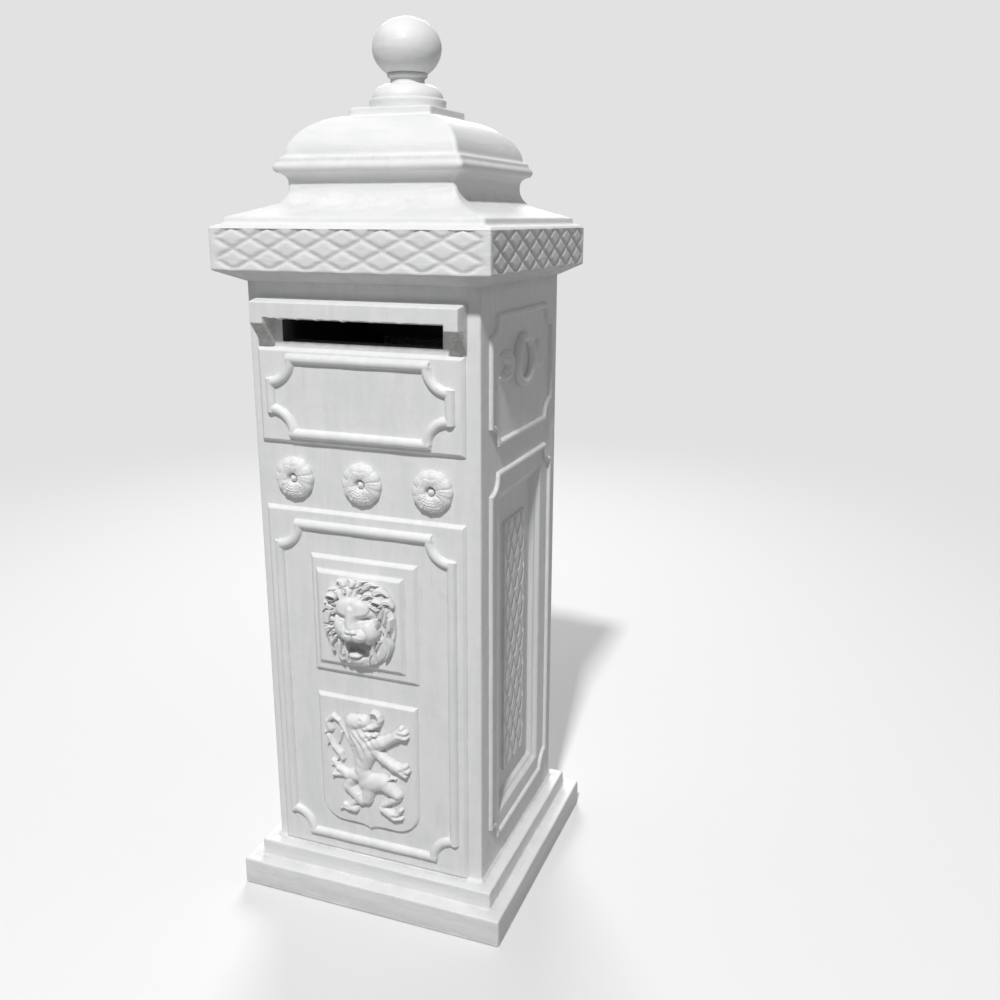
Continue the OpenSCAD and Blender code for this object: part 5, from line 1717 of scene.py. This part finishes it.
class Effects:
    """The shader groups that the finishes share: brush marks, the skin of a casting, and wear."""

    def __init__(self) -> None:
        """Builds all groups."""
        self.brush, self.skin, self.wear = self.brush_marks(), self.cast_skin(), self.weathering()

    def brush_marks(self) -> NodeTree:
        """Marks of a brush: stretched noise as hair marks, and a coarser one as broad strokes.

        Returns:
            The group.
        """
        inputs = {"Stretch": Stroke.UPRIGHT.value, "Scale": 420.0}
        group = Effect("brush_marks", inputs, ["Hairs", "Strokes", "Height"])
        place = group.vector("MULTIPLY", group.start[0], group.start[1]).outputs[0]
        hairs = group.noise(place, group.start[2], 3.0, 0.55)
        broad = group.math("MULTIPLY", group.start[2], 0.16)
        strokes = group.add("TexNoise", Vector=place, Scale=broad, Detail=2.0, Roughness=0.5, Distortion=0.6)
        height = group.math("ADD", group.math("MULTIPLY", hairs, 0.35), strokes.outputs[0])
        return group.give(hairs, strokes.outputs[0], height)

    def cast_skin(self) -> NodeTree:
        """Soft lumps and grains of a casting, with sparse round pinholes cut from a cell pattern.

        Returns:
            The group.
        """
        group = Effect("cast_skin", {}, ["Height", "Pits"])
        place = group.start[0]
        cells = group.add("TexVoronoi", Vector=place, Scale=95.0, Randomness=1.0).outputs["Distance"]
        chosen = group.ramp(group.noise(place, 38.0, 1.0), 0.58, 0.66)
        pits = group.math("MULTIPLY", group.ramp(cells, 0.16, 0.05), chosen)
        grains = group.math("MULTIPLY", group.noise(place, 900.0, 2.0, 0.6), 0.12)
        rough = group.math("ADD", group.noise(place, 55.0, 3.0), grains)
        return group.give(group.math("SUBTRACT", rough, group.math("MULTIPLY", pits, 0.2)), pits)

    def weathering(self) -> NodeTree:
        """Dirt and painted shade from the input mask, broken up by noise, faint stretched runs, and a thin
        film of dust.

        Returns:
            The group.
        """
        group = Effect("weathering", {"Soil": 0.0}, ["Grime", "Runs", "Film"])
        place, soil = group.start[0], group.start[1]
        blotches = group.noise(place, 34.0, 5.0, 0.65)
        fine = group.ramp(group.noise(place, 260.0, 3.0, 0.6), 0.2, 0.6)
        broken = group.math("MULTIPLY", group.ramp(blotches, 0.3, 0.68), fine, 0.8)
        grime_and_shade = group.math("MULTIPLY", soil, group.math("ADD", broken, 0.25))
        tall = group.vector("MULTIPLY", place, (1.0, 1.0, 0.07)).outputs[0]
        runs = group.ramp(group.noise(tall, 110.0, 3.0, 0.55), 0.55, 0.75)
        patches = group.ramp(group.noise(place, 7.0, 2.0), 0.45, 0.65)
        faint = group.math("MULTIPLY", runs, patches)
        return group.give(group.math("MINIMUM", grime_and_shade, 1.0), faint, group.ramp(blotches, 0.35, 0.75))


@dataclass
class Finish:
    """What all finishes share: a material with its Principled node and Object coordinates."""

    name: str
    effects: Effects

    def __post_init__(self) -> None:
        """Starts the material."""
        self.material = bpy.data.materials.new(self.name)
        self.material.use_nodes = True
        self.nodes = Nodes(self.material.node_tree)
        self.shader = self.material.node_tree.nodes["Principled BSDF"].inputs
        self.place = self.nodes.add("TexCoord").outputs["Object"]

    def effect(self, group: NodeTree, **inputs: object) -> dict[str, NodeSocket]:
        """Adds a shared group on Object coordinates and gives its outputs by name."""
        node = self.nodes.add("Group", {"node_tree": group}, Vector=self.place, **inputs)
        return {socket.name: socket for socket in node.outputs}

    def coat(self, base: tuple, layers: list[tuple[NodeSocket, float, tuple]]) -> None:
        """Lays colours over each other and joins the result to the Principled node.

        Args:
            base: The lowest colour.
            layers: Mask, strength and colour of each layer, from below.
        """
        colour = base
        for mask, strength, over in layers:
            colour = self.nodes.mix(self.nodes.math("MULTIPLY", mask, strength), colour, over)
        self.nodes.feed(colour, self.shader["Base Color"])

    def bump(
        self, strength: float, distance: float, height: NodeSocket, below: NodeSocket | None = None
    ) -> NodeSocket:
        """Adds a bump and joins it to the Principled node.

        Args:
            strength: Its strength.
            distance: Its height in metres.
            height: The pattern.
            below: The normal that it is added to.

        Returns:
            The new normal.
        """
        inputs = {"Strength": strength, "Distance": distance, "Height": height}
        if below:
            inputs["Normal"] = below
        normal = self.nodes.add("Bump", **inputs).outputs[0]
        self.nodes.feed(normal, self.shader["Normal"])
        return normal


@dataclass
class MasonryPaint(Finish):
    """Brushed white masonry paint over a concrete casting, with the pillar's inside painted near-black as
    shade.
    """

    stroke: Stroke = Stroke.UPRIGHT
    stroke_relief: float = 0.35
    white: tuple = (0.80, 0.805, 0.80, 1.0)
    shade: tuple = (0.72, 0.73, 0.735, 1.0)
    grime_and_shade: tuple = (0.30, 0.285, 0.26, 1.0)
    rust: tuple = (0.52, 0.44, 0.34, 1.0)
    painted_interior_shade: tuple = (0.11, 0.105, 0.10, 1.0)
    hollow_middle: Triple = (0.0, 0.0, 0.466)
    hollow_half: Triple = (0.134, 0.1488, 0.401)

    def inside(self) -> NodeSocket:
        """Finds the inside of the pillar, painted near-black as shade: 1 within the hollow's box, 0 outside.
        """
        away = self.nodes.vector("SUBTRACT", self.place, self.hollow_middle).outputs[0]
        axes = self.nodes.add("SeparateXYZ", Vector=self.nodes.vector("ABSOLUTE", away).outputs[0]).outputs
        near = [self.nodes.math("LESS_THAN", axis, half) for axis, half in zip(axes, self.hollow_half)]
        return self.nodes.math("MULTIPLY", *near)

    def build(self) -> Material:
        """Mixes the paint's colour from strokes, film, runs, pinholes, dirt with painted shade, and the
        inside painted near-black as shade, and adds its relief.

        Returns:
            The material.
        """
        nodes = self.nodes
        soil = nodes.add("Attribute", {"attribute_name": "soil"}).outputs["Fac"]
        brush = self.effect(self.effects.brush, Stretch=self.stroke.value)
        skin = self.effect(self.effects.skin)
        wear = self.effect(self.effects.wear, Soil=soil)
        layers = [
            (nodes.ramp(brush["Strokes"], 0.35, 0.7), 0.55, self.shade),
            (wear["Film"], 0.22, self.shade),
            (wear["Runs"], 0.16, self.rust),
            (skin["Pits"], 0.14, self.grime_and_shade),
            # Painted shade, partly dirt: darkens hollows, grooves, creases, the mouth and the strips under
            # the hood and the cap
            (wear["Grime"], 0.62, self.grime_and_shade),
            # Painted shade: the pillar's inside and the walls of the slot and door openings are painted
            # near-black as if unlit
            (self.inside(), 1.0, self.painted_interior_shade),
        ]
        self.coat(self.white, layers)
        hairs = nodes.math("MULTIPLY", nodes.ramp(brush["Hairs"], 0.3, 0.7), 0.14)
        rough = nodes.math("ADD", hairs, 0.46, nodes.math("MULTIPLY", wear["Grime"], 0.3))
        nodes.feed(rough, self.shader["Roughness"])
        strokes = self.bump(self.stroke_relief, 0.0011, brush["Height"])
        self.bump(0.5, 0.0016, skin["Height"], strokes)
        return self.material


@dataclass
class Enamel(Finish):
    """White enamel on sheet steel, with a faint orange peel and dust."""

    white: tuple = (0.79, 0.795, 0.79, 1.0)
    dust: tuple = (0.50, 0.48, 0.44, 1.0)

    def build(self) -> Material:
        """Mixes white with dust in runs and patches, and adds a fine peel.

        Returns:
            The material.
        """
        wear = self.effect(self.effects.wear, Soil=0.12)
        self.coat(self.white, [(wear["Runs"], 0.3, self.dust), (wear["Grime"], 0.8, self.dust)])
        rough = self.nodes.math("ADD", self.nodes.math("MULTIPLY", wear["Film"], 0.14), 0.3)
        self.nodes.feed(rough, self.shader["Roughness"])
        self.bump(0.16, 0.0006, self.effect(self.effects.brush, Scale=300.0)["Height"])
        return self.material


@dataclass
class PlatedSteel(Finish):
    """Plated steel with fine brushing and dull patches."""

    bright: tuple = (0.58, 0.59, 0.60, 1.0)
    dull: tuple = (0.40, 0.40, 0.40, 1.0)
    roughness: float = 0.34

    def build(self) -> Material:
        """Mixes bright and dull metal by the film of weathering, and brushes it finely.

        Returns:
            The material.
        """
        self.shader["Metallic"].default_value = 1.0
        wear = self.effect(self.effects.wear, Soil=0.2)
        self.coat(self.bright, [(wear["Film"], 0.6, self.dull)])
        rough = self.nodes.math("ADD", self.nodes.math("MULTIPLY", wear["Film"], 0.2), self.roughness)
        self.nodes.feed(rough, self.shader["Roughness"])
        self.bump(0.12, 0.0003, self.effect(self.effects.brush, Scale=1400.0)["Hairs"])
        return self.material


@dataclass
class RearDoor:
    """The steel door at the back with its frame, hinges, screws, shelf and lock."""

    painted: tuple = (
        "door_frame", "door_panel", "upper_frame_leaf", "lower_frame_leaf", "upper_door_leaf",
        "lower_door_leaf",
    )
    plated: tuple = (
        "mail_shelf", "frame_screws", "upper_hinge_pin", "lower_hinge_pin", "lock_nut", "lock_cam",
        "cam_screw", "finial_dowel",
    )
    bright: tuple = ("lock_body", "lock_plug")

    def dress(self, nodes: dict, enamel: Material, zinc: Material, nickel: Material) -> None:
        """Gives the CAD pieces their finishes.

        Args:
            nodes: CAD objects by node name.
            enamel: Finish of the painted pieces.
            zinc: Finish of the plated pieces.
            nickel: Finish of the lock.
        """
        for names, material in ((self.painted, enamel), (self.plated, zinc), (self.bright, nickel)):
            for name in names:
                for slot in nodes[name].material_slots:
                    slot.material = material
                LOG.info("%s: %s", name, material.name)


# Studio


@dataclass
class Studio:
    """Pale floor, soft lamps and the camera at the photograph's place."""

    place: Triple = (0.6015, -1.2628, 0.9489)
    yaw: float = 20.516
    pitch: float = 15.6655
    roll: float = 0.1955
    lens: float = 36.28
    lamps: tuple = (("key", (0.9, -4.8, 6.9), 560.0, 0.45), ("rear_fill", (-1.6, 3.6, 2.6), 110.0, 1.6))
    fill: float = 0.22
    backdrop: float = 0.76
    floor_seen: tuple = (0.80, 0.80, 0.80, 1.0)
    floor_unseen: tuple = (0.28, 0.28, 0.28, 1.0)
    floor_fade: Pair = (0.8, 3.2)

    def camera(self) -> None:
        """Sets the camera up from its place, yaw, pitch and roll."""
        yaw, pitch, roll = (math.radians(a) for a in (self.yaw, self.pitch, self.roll))
        level = math.cos(pitch)
        forward = Vector((-math.sin(yaw) * level, math.cos(yaw) * level, -math.sin(pitch)))
        right = Vector((math.cos(yaw), math.sin(yaw), 0.0))
        up = right.cross(forward)
        across = right * math.cos(roll) + up * math.sin(roll)
        upwards = up * math.cos(roll) - right * math.sin(roll)
        data = bpy.data.cameras.new("view")
        data.lens = self.lens
        data.sensor_width = 36.0
        camera = bpy.data.objects.new("view", data)
        turn = Matrix((across, upwards, -forward)).transposed()
        camera.matrix_world = Matrix.Translation(Vector(self.place)) @ turn.to_4x4()
        bpy.context.scene.collection.objects.link(camera)
        bpy.context.scene.camera = camera

    def lamp(self, name: str, place: Triple, power: float, size: float) -> None:
        """Adds a square soft lamp that points at the pillar's middle.

        Args:
            name: Name of the lamp.
            place: Its place in metres.
            power: Its power in watts.
            size: Its width in metres.
        """
        data = bpy.data.lights.new(name, "AREA")
        data.energy = power
        data.size = size
        lamp = bpy.data.objects.new(name, data)
        lamp.location = place
        lamp.rotation_euler = (Vector((0.0, 0.0, 0.6)) - Vector(place)).to_track_quat("-Z", "Y").to_euler()
        bpy.context.scene.collection.objects.link(lamp)

    def floor(self) -> None:
        """Adds a wide pale floor that fades into the backdrop's colour for the camera and for gloss."""
        mesh = bpy.data.meshes.new("floor")
        reach = 30.0
        corners = [(-reach, -reach, 0.0), (reach, -reach, 0.0), (reach, reach, 0.0), (-reach, reach, 0.0)]
        mesh.from_pydata(corners, [], [(0, 1, 2, 3)])
        floor = bpy.data.objects.new("floor", mesh)
        material = bpy.data.materials.new("pale_floor")
        material.use_nodes = True
        nodes = Nodes(material.node_tree)
        shader = material.node_tree.nodes["Principled BSDF"]
        shader.inputs["Roughness"].default_value = 0.9
        shader.inputs["Specular IOR Level"].default_value = 0.1
        seen = nodes.seen()
        nodes.feed(nodes.mix(seen, self.floor_unseen, self.floor_seen), shader.inputs["Base Color"])
        far = nodes.vector("LENGTH", nodes.add("TexCoord").outputs["Object"]).outputs["Value"]
        distant = nodes.math("MULTIPLY", nodes.ramp(far, *self.floor_fade), seen)
        glow = nodes.add("Emission", Color=(self.backdrop, self.backdrop, self.backdrop, 1.0))
        blend = nodes.add("MixShader", in0=distant, in1=shader.outputs[0], in2=glow.outputs[0])
        nodes.feed(blend.outputs[0], material.node_tree.nodes["Material Output"].inputs["Surface"])
        mesh.materials.append(material)
        bpy.context.scene.collection.objects.link(floor)

    def world(self) -> None:
        """Soft light from all round, with a pale background for the camera and for gloss."""
        world = bpy.data.worlds.new("studio")
        world.use_nodes = True
        bpy.context.scene.world = world
        nodes = Nodes(world.node_tree)
        background = world.node_tree.nodes["Background"].inputs
        background["Color"].default_value = (1.0, 1.0, 1.0, 1.0)
        spread = nodes.add("MapRange", Value=nodes.seen(), To_Min=self.fill, To_Max=self.backdrop)
        nodes.feed(spread.outputs["Result"], background["Strength"])

    def build(self) -> None:
        """Sets up camera, lamps, floor and world."""
        self.camera()
        for lamp in self.lamps:
            self.lamp(*lamp)
        self.floor()
        self.world()
        bpy.context.scene.view_settings.view_transform = "Standard"


def main() -> None:
    """Builds the mailbox's looks in order."""
    logging.basicConfig(level=logging.INFO, format="%(name)s: %(message)s")
    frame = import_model()
    Studio().build()
    effects = Effects()
    upright = MasonryPaint("white_masonry_paint", effects).build()
    level = MasonryPaint("white_masonry_paint_level", effects, Stroke.LEVEL, 0.6).build()
    enamel = Enamel("white_enamel", effects).build()
    zinc = PlatedSteel("zinc_plate", effects).build()
    nickel_colours = ((0.70, 0.69, 0.66, 1.0), (0.52, 0.51, 0.49, 1.0))
    nickel = PlatedSteel("nickel_plate", effects, *nickel_colours, 0.16).build()

    pillar = PillarCasting(upright)
    panel = FramedPlate(upright, "front_panel", "front_panel_frame", 5.0, 12.5, 16.0, 3.8)
    front = Plane(Side.FRONT, pillar.half[1])
    panel_face = Plane(Side.FRONT, pillar.half[1] + panel.thickness)
    StepBase(level).build()
    pillar.build()
    FramedPlate(upright, "name_plate", "name_plate_frame", 5.5, 12.5, 7.5).build(front)
    panel.build(front)
    for node in ("rosette_left", "rosette_centre", "rosette_right"):
        Rosette(upright, node).build(front)
    LionPlaque(upright).build(panel_face)
    ShieldPlaque(upright).build(panel_face)
    for side, label in ((Side.LEFT, "left"), (Side.RIGHT, "right")):
        SideOrnaments(upright, side, label).build(pillar.half[0])
    MouldedCap(level).build()
    BallFinial(level).build()
    RearDoor().dress(frame["nodes"], enamel, zinc, nickel)

    bpy.context.view_layer.update()


if __name__ == "__main__":
    main()
